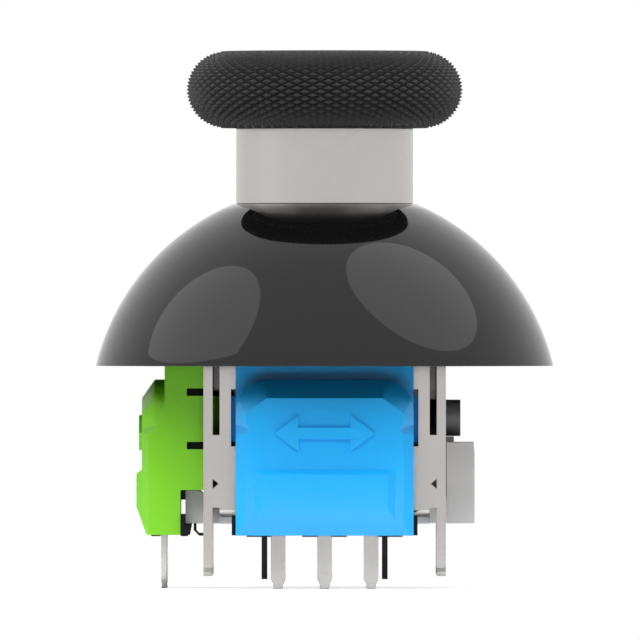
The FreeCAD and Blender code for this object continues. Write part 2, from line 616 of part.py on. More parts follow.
def frame_leg(name, x, sign, height):
    body = new_body(name)
    low, high = height
    inner = sign * d.leg_inner
    outer = sign * (d.leg_inner + d.leg_wide)
    tab_top = low + d.leg_tab
    taper_top = tab_top + d.leg_taper
    tab_inner = inner + sign * d.leg_taper
    tab_outer = outer - sign * d.leg_taper
    corners = [(inner, high), (inner, taper_top), (tab_inner, tab_top), (tab_inner, low), (tab_outer, low),
               (tab_outer, tab_top), (outer, taper_top), (outer, high)]
    pad(body, "YZ_Plane", corners, x[1] - x[0], offset=x[0])
    return body


# Base: light grey moulding. Its floor holds the spring, its lugs carry the sensors and the push
# switch, and the block at the right carries the upper arm's journal.

def make_base():
    inner = d.frame_half - d.sheet_thick
    floor_x = (-d.floor_half_x, d.floor_half_x)
    floor_y = (-d.floor_half_y, d.floor_half_y)
    pieces = [block("base_floor", floor_x, floor_y, (d.floor_foot, d.floor_top))]
    pieces.append(rod("base_guide", "Z", (0, 0, d.floor_foot), d.guide_top - d.floor_foot,
                      d.guide_inner + d.guide_wall))
    for number, axis in enumerate(("YZ_Plane", "XZ_Plane")):
        pieces.append(base_lug("base_lug_%d" % number, axis))
    pieces.append(block("base_rear_lug", (-d.lug_half, d.lug_half), (0, d.switch_start),
                        (d.floor_foot, d.lug_top - d.lug_round)))
    saddle_top = d.pivot_height - d.journal_radius - d.run_gap / 2
    saddle = (-d.saddle_half, d.saddle_half)
    pieces.append(block("base_saddle", (0, d.saddle_reach), saddle, (d.floor_foot, saddle_top)))
    pieces.append(base_block("base_block"))
    pieces.append(block("base_bridge", (0, d.block_reach - 1), (-d.block_half, d.block_half),
                        (d.floor_foot, d.lug_top - d.lug_round)))
    solid = join("base_solid", pieces)
    hollow_height = d.guide_top - d.floor_top
    cutters = [rod("base_hollow", "Z", (0, 0, d.floor_top), hollow_height + 3, d.guide_inner)]
    cutters.append(rod("base_pocket", "Z", (0, 0, d.pocket_floor), hollow_height, d.pocket_radius))
    groove_height = (d.frame_foot - d.slip_gap, d.frame_foot + d.lip_thick + d.slip_gap)
    for number, x in enumerate(mirrored_pair(d.notch_half - d.slip_gap, inner)):
        for end, y in enumerate(mirrored_pair(d.lip_inner - d.slip_gap, inner)):
            cutters.append(block("base_groove_%d%d" % (number, end), x, y, groove_height))
    hook_side = (-d.foot_wide / 2 - d.slip_gap, d.foot_wide / 2 + d.slip_gap)
    hook_room = (outward(d.lug_proud + 1), outward(d.hook_reach - d.hook_thick - d.slip_gap))
    hook_height = (0, d.floor_foot + d.hook_thick + d.slip_gap)
    cutters.append(block("base_front_hook_groove", hook_side, hook_room, hook_height))
    cutters.append(block("base_side_hook_groove", hook_room, hook_side, hook_height))
    open_base = cut("base_open", solid, cutters)
    post = rod("base_post", "Z", (0, 0, d.floor_foot), d.post_top - d.floor_foot, d.post_radius)
    keep("base", join("base", [open_base, post]))


def base_lug(name, plane):
    """A lug that passes under the frame's plate and stands up outside it."""
    body = new_body(name)
    low_top = d.lug_top - d.lug_round
    corners = [(0, d.floor_foot), (0, low_top), (-d.frame_half, low_top),
               (-d.frame_half - d.lug_round, d.lug_top, d.lug_round, 1),
               (-d.lug_reach, d.lug_top), (-d.lug_reach, d.floor_foot)]
    pad(body, plane, corners, 2 * d.lug_half, both_ways=True)
    return body


def base_block(name):
    body = new_body(name)
    start = d.frame_half + d.slip_gap
    corners = [(start, d.floor_foot), (d.block_reach, d.floor_foot),
               (d.block_reach, d.block_top - d.block_bevel), (d.block_reach - d.slip_gap, d.block_top),
               (start, d.block_top)]
    pad(body, "XZ_Plane", corners, 2 * d.block_half, both_ways=True)
    return body


# Gimbal. The lower arm turns about Y and turns the front sensor; the lever is pinned in its ring
# and swings about X; the upper arm's arch spans the ring, follows the lever and turns the side
# sensor.

def make_lower_arm():
    ring = new_body("lower_arm_ring")
    centre = d.ring_half_x - d.ring_half_z
    low = d.pivot_height - d.ring_half_z
    high = d.pivot_height + d.ring_half_z
    stadium = [(centre, low), (d.ring_half_x, d.pivot_height, d.ring_half_z, 1),
               (centre, high, d.ring_half_z, 1), (-centre, high),
               (-d.ring_half_x, d.pivot_height, d.ring_half_z, 1), (-centre, low, d.ring_half_z, 1)]
    pad(ring, "XZ_Plane", stadium, 2 * d.ring_half_y, both_ways=True)
    pieces = [ring]
    keel_height = (d.pivot_height - d.keel_deep, d.pivot_height)
    for number, y in enumerate(mirrored_pair(d.keel_inner, d.ring_half_y)):
        pieces.append(block("lower_arm_keel_%d" % number, (-d.keel_half, d.keel_half), y, keel_height))
    pieces += drive_end("lower_arm", "Y", d.ring_half_y)
    pieces.append(rod("lower_arm_bar", "Y", (0, d.ring_half_y - 1, d.pivot_height),
                      d.lower_journal_start - d.ring_half_y + 1, d.bar_radius))
    pieces.append(rod("lower_arm_journal", "Y", (0, d.ring_half_y - 1, d.pivot_height),
                      d.lower_journal_end - d.ring_half_y + 1, d.journal_radius))
    solid = join("lower_arm_solid", pieces)
    window = block("lower_arm_window", (-d.window_half_x, d.window_half_x),
                   (-d.window_half_y, d.window_half_y), (0, 2 * d.pivot_height))
    pin_hole = rod("lower_arm_pin_hole", "X", (-2 * d.ring_half_x, 0, d.pivot_height), 4 * d.ring_half_x,
                   d.pin_radius + d.run_gap)
    keep("lower_arm", cut("lower_arm", solid, [window, pin_hole]))


def drive_end(name, axis, start):
    """The bar towards a sensor, and the flat tongue that turns its rotor."""
    half_wide = d.tongue_wide / 2
    half_thick = d.tongue_thick / 2
    wide = (-half_wide, half_wide)
    along = (-d.tongue_reach, -start)
    height = (d.pivot_height - half_thick, d.pivot_height + half_thick)
    if axis == "Y":
        bar = rod(name + "_drive_bar", "Y", (0, -d.bar_reach, d.pivot_height), d.bar_reach - start + 0.5,
                  d.bar_radius)
        return [bar, block(name + "_tongue", wide, along, height)]
    bar = rod(name + "_drive_bar", "X", (-d.bar_reach, 0, d.pivot_height), d.bar_reach - start + 0.5,
              d.bar_radius)
    return [bar, block(name + "_tongue", along, wide, height)]


def make_upper_arm():
    arch = new_body("upper_arm_arch")
    top_outer = d.pivot_height + d.arch_outer
    top_inner = d.pivot_height + d.arch_inner
    foot = d.pivot_height - d.arch_leg
    profile = [(d.arch_inner, foot), (d.arch_outer, foot), (d.arch_outer, d.pivot_height),
               (0, top_outer, d.arch_outer, 1), (-d.arch_outer, d.pivot_height, d.arch_outer, 1),
               (-d.arch_outer, foot), (-d.arch_inner, foot), (-d.arch_inner, d.pivot_height),
               (0, top_inner, d.arch_inner, -1), (d.arch_inner, d.pivot_height, d.arch_inner, -1)]
    pad(arch, "XZ_Plane", profile, 2 * d.arch_half, both_ways=True)
    slot = rectangle(-d.arch_slot_half_x, d.arch_slot_half_x, -d.arch_slot_half_y, d.arch_slot_half_y)
    pocket(arch, "XY_Plane", slot, d.arch_outer + 1, offset=d.pivot_height)
    pieces = [arch]
    for number, x in enumerate(mirrored_pair(d.arch_inner, d.arch_outer)):
        pieces.append(block("upper_arm_keel_%d" % number, x, (-d.keel_half, d.keel_half),
                            (d.pivot_height - d.keel_deep, d.pivot_height)))
    pieces += drive_end("upper_arm", "X", (d.arch_inner + d.arch_outer) / 2)
    pieces.append(rod("upper_arm_journal", "X", (d.arch_inner, 0, d.pivot_height),
                      d.upper_journal_end - d.arch_inner, d.journal_radius))
    keep("upper_arm", join("upper_arm", pieces))


def make_lever():
    body = new_body("lever_shaft")
    shank_foot = d.pivot_height + d.shank_start
    foot_top = shank_foot - d.foot_shoulder
    profile = [(0, d.pivot_height), (d.lever_half, d.pivot_height), (d.lever_half, foot_top),
               (d.lever_radius, shank_foot), (d.lever_radius, d.head_start - d.head_shoulder),
               (d.head_radius, d.head_start), (d.head_radius, d.head_end), (0, d.head_end)]
    revolve(body, profile)
    foot = rectangle(-d.lever_half, d.lever_half, -d.lever_half, d.lever_half)
    foot_low = d.pivot_height - d.lever_foot
    pad(body, "XY_Plane", foot, foot_top - foot_low, offset=foot_low)
    head_high = d.head_end + 1
    head_low = d.head_start - d.head_shoulder
    for low, high in mirrored_pair(d.head_flat, d.head_radius + 1):
        pocket(body, "YZ_Plane", rectangle(low, high, head_low, head_high), 4 * d.head_radius, both_ways=True)
    pin_hole = rod("lever_pin_hole", "X", (-2 * d.lever_half, 0, d.pivot_height), 4 * d.lever_half,
                   d.pin_radius)
    keep("lever", cut("lever", body, [pin_hole]))
    pin_half = d.ring_half_x - d.run_gap
    keep("lever_pin", rod("lever_pin", "X", (-pin_half, 0, d.pivot_height), 2 * pin_half, d.pin_radius))


# Return spring and the cup that the arms press on it.

def make_spring():
    seat_top = d.pivot_height - d.keel_deep - d.seat_gap
    seat_foot = seat_top - d.seat_thick
    body = new_body("spring_seat")
    skirt_inner = d.seat_radius - d.seat_skirt
    skirt_foot = d.floor_top + d.seat_skirt_gap
    profile = [(d.seat_hole, seat_foot), (skirt_inner, seat_foot), (skirt_inner, skirt_foot),
               (d.seat_radius, skirt_foot), (d.seat_radius, seat_top), (d.seat_hole, seat_top)]
    revolve(body, profile)
    keep("spring_seat", body)

    wire_radius = d.spring_wire / 2
    helix = doc.addObject("Part::Helix", "spring_path")
    start = d.pocket_floor + wire_radius
    height = seat_foot - wire_radius - start
    helix.setExpression("Radius", d.spring_radius.text)
    helix.setExpression("Height", height.text)
    helix.setExpression("Pitch", (height / d.spring_turns).text)
    section = doc.addObject("Part::RegularPolygon", "spring_section")
    section.setExpression("Polygon", d.spring_sides.text)
    section.setExpression("Circumradius", wire_radius.text)
    section.Placement = Placement(Vector(), Rotation(Vector(1, 0, 0), 90))
    move(section, d.spring_radius, 0, 0)
    coil = doc.addObject("Part::Sweep", "spring_coil")
    coil.Sections = [section]
    coil.Spine = (helix, [])
    coil.Solid = True
    coil.Frenet = True
    move(coil, 0, 0, start)
    keep("return_spring", coil)


# Sensors. Each is drawn as the front one, facing -Y, and the side one is the same piece turned
# to face -X. Distances outward are counted from the frame's outer face.

def outward(distance):
    return -d.frame_half - distance


def across_plate(corners):
    """Corners given as distance outward and height, as a sketch on the YZ plane needs them."""
    return [(outward(corner[0]), corner[1]) for corner in corners]


def make_sensor(side, turn):
    make_rotor(side, turn)
    make_cover(side, turn)
    make_back(side, turn)
    board = block(side + "_board", (-d.board_half, d.board_half),
                  (outward(d.board_face + d.board_thick), outward(d.board_face)),
                  (d.board_low, d.board_high))
    keep(side + "_board", board, turn)
    chip = block(side + "_chip", (-d.chip_half_wide, d.chip_half_wide),
                 (outward(d.board_face), outward(d.board_face - d.chip_thick)),
                 (d.pivot_height - d.chip_half_high, d.pivot_height + d.chip_half_high))
    keep(side + "_chip", chip, turn)
    for number in range(3):
        make_sensor_pin(side + "_pin_%d" % (number + 1), (number - 1) * d.pin_pitch, turn)


def make_rotor(side, turn):
    disc_end = d.disc_start + d.disc_thick
    height = d.pivot_height
    boss = rod(side + "_rotor_boss", "Y", (0, outward(d.disc_start), height), d.disc_start + d.boss_deep,
               d.boss_radius)
    disc = rod(side + "_rotor_disc", "Y", (0, outward(disc_end), height), d.disc_thick, d.disc_radius)
    half_wide = d.tongue_wide / 2 + d.slip_gap
    half_thick = d.tongue_thick / 2 + d.slip_gap
    slot = block(side + "_rotor_slot", (-half_wide, half_wide), (outward(-d.rotor_slot_end), 0),
                 (height - half_thick, height + half_thick))
    bed = rod(side + "_rotor_bed", "Y", (0, outward(disc_end + 1), height), d.magnet_thick + 1,
              d.magnet_radius)
    rotor = cut(side + "_rotor", join(side + "_rotor_solid", [boss, disc]), [slot, bed])
    keep(side + "_rotor", rotor, turn)
    magnet = rod(side + "_magnet", "Y", (0, outward(disc_end), height), d.magnet_thick, d.magnet_radius)
    keep(side + "_magnet", magnet, turn)


def make_cover(side, turn):
    body = new_body(side + "_cover_shell")
    outline = [(0, d.cover_notch_top), (0, d.cover_top), (d.box_reach, d.cover_top),
               (d.box_reach, d.pad_top), (d.pad_edge_reach, d.pad_top), (d.pad_reach, d.pad_slope_foot),
               (d.pad_reach, d.hem_start), (d.hem_reach, d.cover_foot), (d.cover_notch_reach, d.cover_foot),
               (d.cover_notch_reach, d.cover_notch_top)]
    pad(body, "YZ_Plane", across_plate(outline), 2 * d.cover_half, both_ways=True)

    inside = d.pad_reach - d.front_wall
    hem_inside = d.hem_reach - d.front_wall
    top_inside = d.board_face + d.slip_gap
    roof = d.cover_top - d.cover_wall
    pad_roof = d.pad_top - d.front_wall
    hollow = [(-1, 0), (-1, roof), (top_inside, roof), (top_inside, pad_roof),
              (d.pad_edge_reach - d.front_wall, pad_roof), (inside, d.pad_slope_foot - d.front_wall / 2),
              (inside, d.hem_start), (hem_inside, d.cover_foot), (hem_inside, 0)]
    room = 2 * (d.cover_half - d.cover_wall)
    pocket(body, "YZ_Plane", across_plate(hollow), room, both_ways=True)

    for low, high in ((d.tongue_low - d.tongue_slot, d.tongue_low), (d.tongue_high, d.tongue_high + d.tongue_slot)):
        slot = across_plate([(-1, low), (-1, high), (d.tongue_slot_reach, high), (d.tongue_slot_reach, low)])
        pocket(body, "YZ_Plane", slot, 2 * d.cover_half + 2, both_ways=True)
    for sign in (-1, 1):
        pad(body, "XY_Plane", snap_tongue(sign), d.tongue_high - d.tongue_low, offset=d.tongue_low)
    mark_sink = d.front_wall / 2
    pad(body, "XZ_Plane", axis_mark(), d.mark_proud + mark_sink,
        offset=d.frame_half + d.pad_reach - mark_sink)
    cutters = []
    for name, sign in (("left", -1), ("right", 1)):
        cutters.append(cover_bevel("%s_cover_bevel_%s" % (side, name), sign))
        cutters.append(pad_corner("%s_cover_corner_%s" % (side, name), sign))
        cutters.append(corner_facet("%s_cover_facet_%s" % (side, name), sign))
    shell = cut(side + "_cover_cut", body, cutters)
    keep(side + "_cover", join(side + "_cover", [shell, cover_belly(side + "_cover_belly")]), turn)


def snap_tongue(sign):
    """The tongue that passes through the frame's window, with the barb behind the sheet."""
    inner = d.cover_half - d.cover_wall
    behind = d.sheet_thick + d.slip_gap
    barb_end = behind + d.barb_long
    corners = [(inner, d.slip_gap), (d.cover_half, d.slip_gap), (d.cover_half, -behind),
               (d.cover_half + d.barb_proud, -behind), (d.cover_half, -barb_end), (inner, -barb_end)]
    return [(sign * along, outward(out)) for along, out in corners]


def cover_bevel(name, sign):
    """What is cut off down a cover's front edge: a bevel that is deeper above the middle."""
    low = (d.side_bevel_start, d.side_bevel_half)
    high = (d.upper_bevel_start, d.upper_bevel_half)
    stations = ((0, low), (d.bevel_change_low, low), (d.bevel_change_high, high), (d.cover_top + 1, high))
    past = 0.5
    rings = []
    for height, (start, half) in stations:
        slope = (d.cover_half - half) / (d.pad_reach - start)
        side = sign * (d.cover_half + slope * past)
        front = outward(d.pad_reach + past)
        corners = [(sign * (half - slope * past), front), (side, outward(start - past)), (side, front)]
        rings.append([Vector(x.number, y.number, as_size(height).number) for x, y in corners])
    return solid_through(name, rings)


def pad_corner(name, sign):
    """What is cut off a top corner of the pad: its round goes straight back in the pad's edge, and
    sinks with the pad's sloping top."""
    steps = 6
    middle = (d.cover_half - d.pad_corner).number
    rings = []
    fall = (d.pad_slope / (d.pad_reach - d.pad_edge_reach)).number
    past = 0.3
    for reach, drop in ((d.box_reach, 0), (d.pad_edge_reach, 0), (d.pad_reach + past, 1)):
        sunk = drop * fall * (reach - d.pad_edge_reach).number
        centre = (d.pad_top - d.pad_corner).number - sunk
        ring = []
        for step in range(steps + 1):
            angle = math.pi / 2 * step / steps
            ring.append((middle + d.pad_corner.number * math.cos(angle),
                         centre + d.pad_corner.number * math.sin(angle)))
        corner_top = d.pad_top.number + past
        ring += [(middle, corner_top), (d.cover_half.number + past, corner_top),
                 (d.cover_half.number + past, centre)]
        rings.append([Vector(sign * along, outward(reach).number, height) for along, height in ring])
    return solid_through(name, rings)


def corner_facet(name, sign):
    """What is cut off in front of the plane through the facet's three corners."""
    foot = Vector(d.upper_bevel_half.number, (d.pad_slope_foot - d.facet_foot_drop).number, d.pad_reach.number)
    inner = Vector((d.cover_half - d.facet_side).number, (d.pad_slope_foot - d.facet_drop).number,
                   d.pad_reach.number)
    top = Vector((d.cover_half - d.facet_top_side).number, (d.pad_slope_foot + d.facet_top_lift).number,
                 (d.pad_edge_reach + d.facet_top_proud).number)
    facing = (inner - foot).cross(top - foot)
    inner_side = d.top_inner_side.number
    outer_side = d.cover_half.number + 0.5
    high = d.cover_top.number
    rings = []
    for reach in (d.pad_edge_reach.number, d.pad_reach.number + 0.3):
        ring = []
        for along in (inner_side, outer_side):
            height = foot.y - (facing.x * (along - foot.x) + facing.z * (reach - foot.z)) / facing.y
            ring.append((along, height))
        ring += [(outer_side, high), (inner_side, high)]
        rings.append([Vector(sign * along, outward(reach).number, height) for along, height in ring])
    return solid_through(name, rings)


def cover_belly(name):
    """The raised lower field of a cover's front, with sloping sides."""
    fall = (d.pad_reach + d.belly_proud - d.hem_reach) / (d.belly_low - d.cover_foot)
    low = d.belly_low - d.belly_proud / fall
    back = rectangle(-d.belly_half, d.belly_half, low, d.belly_top)
    front = rectangle(-d.belly_front_half, d.belly_front_half, d.belly_low, d.belly_edge)
    sunk = d.slip_gap
    rings = []
    for reach, field in ((d.pad_reach - sunk, back), (d.pad_reach, back), (d.pad_reach + d.belly_proud, front)):
        rings.append([Vector(as_size(along).number, outward(reach).number, height.number)
                      for along, height in field])
    return solid_through(name, rings)


def solid_through(name, rings):
    """A flat-faced solid through rings of corners."""
    faces = [flat_face(rings[0]), flat_face(rings[-1])]
    for lower, upper in zip(rings, rings[1:]):
        for corner in range(len(lower)):
            following = (corner + 1) % len(lower)
            faces.append(flat_face([lower[corner], lower[following], upper[following]]))
            faces.append(flat_face([lower[corner], upper[following], upper[corner]]))
    thing = doc.addObject("Part::Feature", name)
    thing.Shape = closed_solid(faces)
    return thing


def flat_face(points):
    return Part.Face(Part.makePolygon(points + points[:1]))


def closed_solid(faces):
    solid = Part.makeSolid(Part.Shell(faces))
    if solid.Volume < 0:
        solid.reverse()
    return solid


def axis_mark():
    """A double-headed arrow along the direction that the sensor reads."""
    neck = d.mark_half - d.mark_head_long
    middle = d.mark_height
    return [(-d.mark_half, middle), (-neck, middle - d.mark_head), (-neck, middle - d.mark_bar),
            (neck, middle - d.mark_bar), (neck, middle - d.mark_head), (d.mark_half, middle),
            (neck, middle + d.mark_head), (neck, middle + d.mark_bar), (-neck, middle + d.mark_bar),
            (-neck, middle + d.mark_head)]


def make_back(side, turn):
    """The black back plate: it closes the cover's back and foot and stands on the circuit board."""
    body = new_body(side + "_back_plate")
    plate_half = d.cover_half - d.cover_wall - d.slip_gap
    roof = d.cover_top - d.cover_wall - d.slip_gap
    floor_high = d.floor_foot - d.slip_gap
    floor_reach = d.hem_reach - d.front_wall - d.slip_gap
    lug_side = d.lug_proud
    bar_foot = d.bar_inner + d.bar_lean
    step_low = d.lug_top - d.lug_step
    plate = [(0, d.notch_top), (0, roof), (d.board_face, roof), (d.board_face, floor_high),
             (floor_reach, floor_high), (floor_reach, d.cover_foot), (bar_foot, d.cover_foot),
             (d.bar_inner, floor_high), (lug_side, floor_high), (lug_side, d.bar_top),
             (d.cover_notch_reach, d.bar_top), (d.cover_notch_reach, step_low),
             (lug_side, step_low), (lug_side, d.notch_top)]
    pad(body, "YZ_Plane", across_plate(plate), 2 * plate_half, both_ways=True)
    bar = [(lug_side, floor_high), (lug_side, d.bar_top), (d.cover_notch_reach, d.bar_top),
           (d.cover_notch_reach, d.cover_foot), (bar_foot, d.cover_foot), (d.bar_inner, floor_high)]
    pad(body, "YZ_Plane", across_plate(bar), 2 * d.bar_half, both_ways=True)
    for low, high in (mirrored_pair(d.foot_start, d.foot_start + d.foot_wide)
                      + mirrored_pair(d.foot_inner_start, d.foot_inner_start + d.foot_inner_wide)):
        foot = rectangle(low, high, outward(d.foot_reach), outward(d.foot_reach - d.foot_deep))
        pad(body, "XY_Plane", foot, d.cover_foot - d.board_gap, offset=d.board_gap)
        heel = rectangle(low, high, outward(d.cover_notch_reach), outward(d.cover_notch_reach - d.heel_deep))
        pad(body, "XY_Plane", heel, d.cover_foot - d.board_gap, offset=d.board_gap)
    window = rod(side + "_back_window", "Y", (0, outward(d.board_face + 1), d.pivot_height), d.board_face + 2,
                 d.back_window)
    cutters = [window]
    middle = d.board_face + d.board_thick + d.pin_thick / 2
    half_thick = d.pin_thick / 2 + d.slip_gap
    half_wide = d.pin_wide / 2 + d.slip_gap
    for number in range(3):
        along = (number - 1) * d.pin_pitch
        cutters.append(block(side + "_pin_slot_%d" % (number + 1), (along - half_wide, along + half_wide),
                             (outward(middle + half_thick), outward(middle - half_thick)),
                             (0, d.board_low)))
    plate_cut = cut(side + "_back_open", body, cutters)
    keep(side + "_back", join(side + "_back", [plate_cut, back_hook(side)]), turn)


def back_hook(side):
    """The thin hook that runs from the bar in a groove of the base's lug, hangs down and turns in
    towards the frame."""
    body = new_body(side + "_back_hook")
    top = d.floor_foot + d.hook_thick
    outer = d.hook_reach
    inner = outer - d.hook_thick
    foot = d.board_gap
    bend = d.hook_round - d.hook_thick
    corners = [(d.lug_proud, top), (d.lug_proud, d.floor_foot), (outer, d.floor_foot),
               (outer, foot + d.hook_round), (outer - d.hook_round, foot, d.hook_round, 1), (0, foot),
               (0, foot + d.hook_thick), (inner - bend, foot + d.hook_thick),
               (inner, foot + d.hook_round, bend, -1), (inner, top)]
    pad(body, "YZ_Plane", across_plate(corners), d.foot_wide, both_ways=True)
    return body


def make_sensor_pin(name, along, turn):
    body = new_body(name + "_blank")
    half = d.pin_wide / 2
    tip = d.pin_tip_wide / 2
    corners = [(along - half, d.pin_top), (along - half, d.pin_taper), (along - tip, 0), (along + tip, 0),
               (along + half, d.pin_taper), (along + half, d.pin_top)]
    pad(body, "XZ_Plane", corners, d.pin_thick, offset=d.frame_half + d.board_face + d.board_thick)
    keep(name, body, turn)


# Push switch at the back, under the lower arm's journal: pressing the stick rocks the arm down
# on the plunger, and the snap dome clicks.

def make_switch():
    start = d.switch_start
    end = d.switch_start + d.switch_deep
    middle = (start + end) / 2
    half = (-d.switch_half, d.switch_half)
    body_block = block("switch_blank", half, (start, end), (d.cover_foot, d.switch_top))
    room = rod("switch_room", "Z", (0, middle, d.dome_room_floor), d.switch_top, d.dome_room_radius)
    side_low = d.switch_top - d.shield_drop
    cutters = [room]
    for number, x in enumerate(mirrored_pair(d.switch_half - d.shield_thick, d.switch_half + 1)):
        cutters.append(block("switch_tab_bed_%d" % number, x,
                             (middle - d.shield_tab_half - d.slip_gap, middle + d.shield_tab_half + d.slip_gap),
                             (side_low - d.slip_gap, d.switch_top + 1)))
    keep("switch_body", cut("switch_body", body_block, cutters))

    lid_height = (d.switch_top, d.switch_top + d.shield_thick)
    pieces = [block("switch_lid", half, (start, end), lid_height)]
    for number, x in enumerate(mirrored_pair(d.switch_half - d.shield_thick, d.switch_half)):
        pieces.append(block("switch_tab_%d" % number, x,
                            (middle - d.shield_tab_half, middle + d.shield_tab_half),
                            (side_low, d.switch_top + d.shield_thick)))
    lid_hole = rod("switch_lid_hole", "Z", (0, middle, d.switch_top - 1), 3, d.plunger_radius + d.slip_gap)
    keep("switch_cover", cut("switch_cover", join("switch_lid_solid", pieces), [lid_hole]))

    make_plunger(middle)
    make_snap_dome(middle)
    number = 0
    for x in mirrored_pair(d.switch_half, d.switch_half + d.terminal_thick):
        for sign in (-1, 1):
            number += 1
            along = middle + sign * d.terminal_pitch / 2
            pin = block("switch_pin_%d" % number, x,
                        (along - d.terminal_wide / 2, along + d.terminal_wide / 2),
                        (d.terminal_tip, d.terminal_top))
            keep("switch_pin_%d" % number, pin)


def make_plunger(middle):
    body = new_body("switch_plunger")
    dome_top = d.dome_room_floor + d.snap_dome_rise
    top = d.pivot_height - d.journal_radius - d.run_gap / 2
    shoulder = top - d.plunger_crown
    crown = (d.plunger_radius * d.plunger_radius + d.plunger_crown * d.plunger_crown) / (2 * d.plunger_crown)
    profile = [(0, dome_top), (d.plunger_flange, dome_top), (d.plunger_flange, d.plunger_flange_top),
               (d.plunger_radius, d.plunger_flange_top), (d.plunger_radius, shoulder), (0, top, crown, 1)]
    revolve(body, profile)
    body.setExpression("Placement.Base.y", middle.text)
    keep("switch_plunger", body)


def make_snap_dome(middle):
    body = new_body("switch_dome")
    foot = d.dome_room_floor
    top = foot + d.snap_dome_rise
    width = d.snap_dome_radius
    outer = (width * width + d.snap_dome_rise * d.snap_dome_rise) / (2 * d.snap_dome_rise)
    inner = outer - d.snap_dome_thick
    drop = outer - d.snap_dome_rise
    inner_width = root(inner * inner - drop * drop)
    profile = [(0, top - d.snap_dome_thick), (inner_width, foot, inner, -1), (width, foot), (0, top, outer, 1)]
    revolve(body, profile)
    body.setExpression("Placement.Base.y", middle.text)
    keep("switch_dome", body)


# Thumb cap: the moulded dome with its neck, core disc and stem, the steel collar on its neck and
# the rubber grip moulded over its disc.

def sphere_at(radius, height):
    """Radius of the dome's sphere, or of its inner face, at a height."""
    rise = height - d.sphere_height
    return root(radius * radius - rise * rise)


def make_cap():
    body = new_body("cap_blank")
    neck = d.collar_radius - d.collar_wall
    stem_meets = d.sphere_height + root(d.inner_sphere * d.inner_sphere - d.stem_radius * d.stem_radius)
    stem_bottom = d.stem_foot
    profile = [(d.stem_radius, stem_bottom), (d.stem_radius, stem_meets),
               (sphere_at(d.inner_sphere, d.dome_rim), d.dome_rim, d.inner_sphere, -1),
               (sphere_at(d.outer_sphere, d.dome_rim), d.dome_rim),
               (d.ledge_radius, d.collar_foot, d.outer_sphere, 1), (neck, d.collar_foot),
               (neck, d.core_foot), (d.core_radius, d.core_foot), (d.core_radius, d.core_top),
               (0, d.core_top), (0, stem_bottom)]
    revolve(body, profile)
    socket = [(0, d.head_end), (0, stem_bottom - 1), (d.head_radius, stem_bottom - 1),
              (d.head_radius, d.head_end)]
    keep("cap_body", cut("cap_body", body, [socket_core(socket)]))

    collar = new_body("wear_collar")
    revolve(collar, rectangle(neck, d.collar_radius, d.collar_foot, d.grip_foot))
    keep("wear_collar", collar)


def socket_core(profile):
    """The core that leaves the cap's socket: round, with the flats that stop the cap turning."""
    body = new_body("cap_socket")
    revolve(body, profile)
    low = d.stem_foot - 2
    high = d.head_end + 1
    for side in mirrored_pair(d.head_flat, d.head_radius + 1):
        pocket(body, "YZ_Plane", rectangle(side[0], side[1], low, high), 4 * d.head_radius, both_ways=True)
    return body


def knurled_puck():
    """A closed disc whose half-round edge carries raised diamonds, as flat three-sided faces."""
    columns = int(d.knurl_columns.number)
    steps = 2 * int(d.knurl_rows.number)
    edge_radius = (d.grip_top.number - d.grip_foot.number) / 2
    middle = (d.grip_top.number + d.grip_foot.number) / 2
    ring_radius = d.grip_radius.number - edge_radius
    deep = d.knurl_deep.number
    flat_angle = math.pi / 2

    def point(row, place):
        """Peaks stand on every other place of a row, and shift by one place in the next row."""
        tilt = -flat_angle + 2 * flat_angle * row / steps
        at_rim = row in (0, steps)
        raised = at_rim or (row + place) % 2 == 0
        radius = edge_radius - (0 if raised else deep)
        around = math.pi * place / columns
        out = ring_radius + radius * math.cos(tilt)
        return Vector(out * math.cos(around), out * math.sin(around), middle + radius * math.sin(tilt))

    rings = [[point(row, place) for place in range(2 * columns)] for row in range(steps + 1)]
    faces = [flat_face(rings[0][::-1]), flat_face(rings[-1])]
    for row in range(steps):
        lower, upper = rings[row], rings[row + 1]
        for place in range(2 * columns):
            following = (place + 1) % (2 * columns)
            corners = (lower[place], lower[following], upper[following], upper[place])
            if (row + place) % 2 == 0:
                triangles = ((0, 1, 2), (0, 2, 3))
            else:
                triangles = ((0, 1, 3), (1, 2, 3))
            for triangle in triangles:
                faces.append(flat_face([corners[n] for n in triangle]))
    return closed_solid(faces)


def make_grip():
    puck = doc.addObject("Part::Feature", "grip_puck")
    puck.Shape = knurled_puck()
    dish_sphere = (d.dish_radius * d.dish_radius + d.dish_deep * d.dish_deep) / (2 * d.dish_deep)
    dish = doc.addObject("Part::Sphere", "grip_dish")
    dish.setExpression("Radius", dish_sphere.text)
    move(dish, 0, 0, d.grip_top - d.dish_deep + dish_sphere)
    bed = rod("grip_bed", "Z", (0, 0, d.core_foot), d.core_top - d.core_foot, d.core_radius)
    neck_hole = rod("grip_neck_hole", "Z", (0, 0, d.grip_foot - 1), d.core_foot - d.grip_foot + 1 + d.slip_gap,
                    d.collar_radius - d.collar_wall)
    keep("thumb_grip", cut("thumb_grip", puck, [dish, bed, neck_hole]))


# The whole module, checked and written.

def check_objects():
    doc.recompute()
    for thing in doc.Objects:
        if "Invalid" in thing.State or "Error" in thing.State:
            raise RuntimeError("%s could not be made: %s" % (thing.Name, thing.State))
    for name, thing in nodes.items():
        shape = thing.Shape
        if shape.isNull() or not shape.isValid() or not shape.Solids:
            raise RuntimeError("%s has no sound solid" % name)
        print("%-16s %d solid, %7.2f mm3" % (name, len(shape.Solids), shape.Volume))


def write_parts():
    os.makedirs("parts", exist_ok=True)
    for name, thing in nodes.items():
        thing.Shape.exportStep(os.path.join("parts", name + ".step"))


make_frame()
make_base()
make_lower_arm()
make_upper_arm()
make_lever()
make_spring()
make_sensor("front", 0)
make_sensor("side", -90)
make_switch()
make_cap()
make_grip()
check_objects()
write_parts()
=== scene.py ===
import json
import math

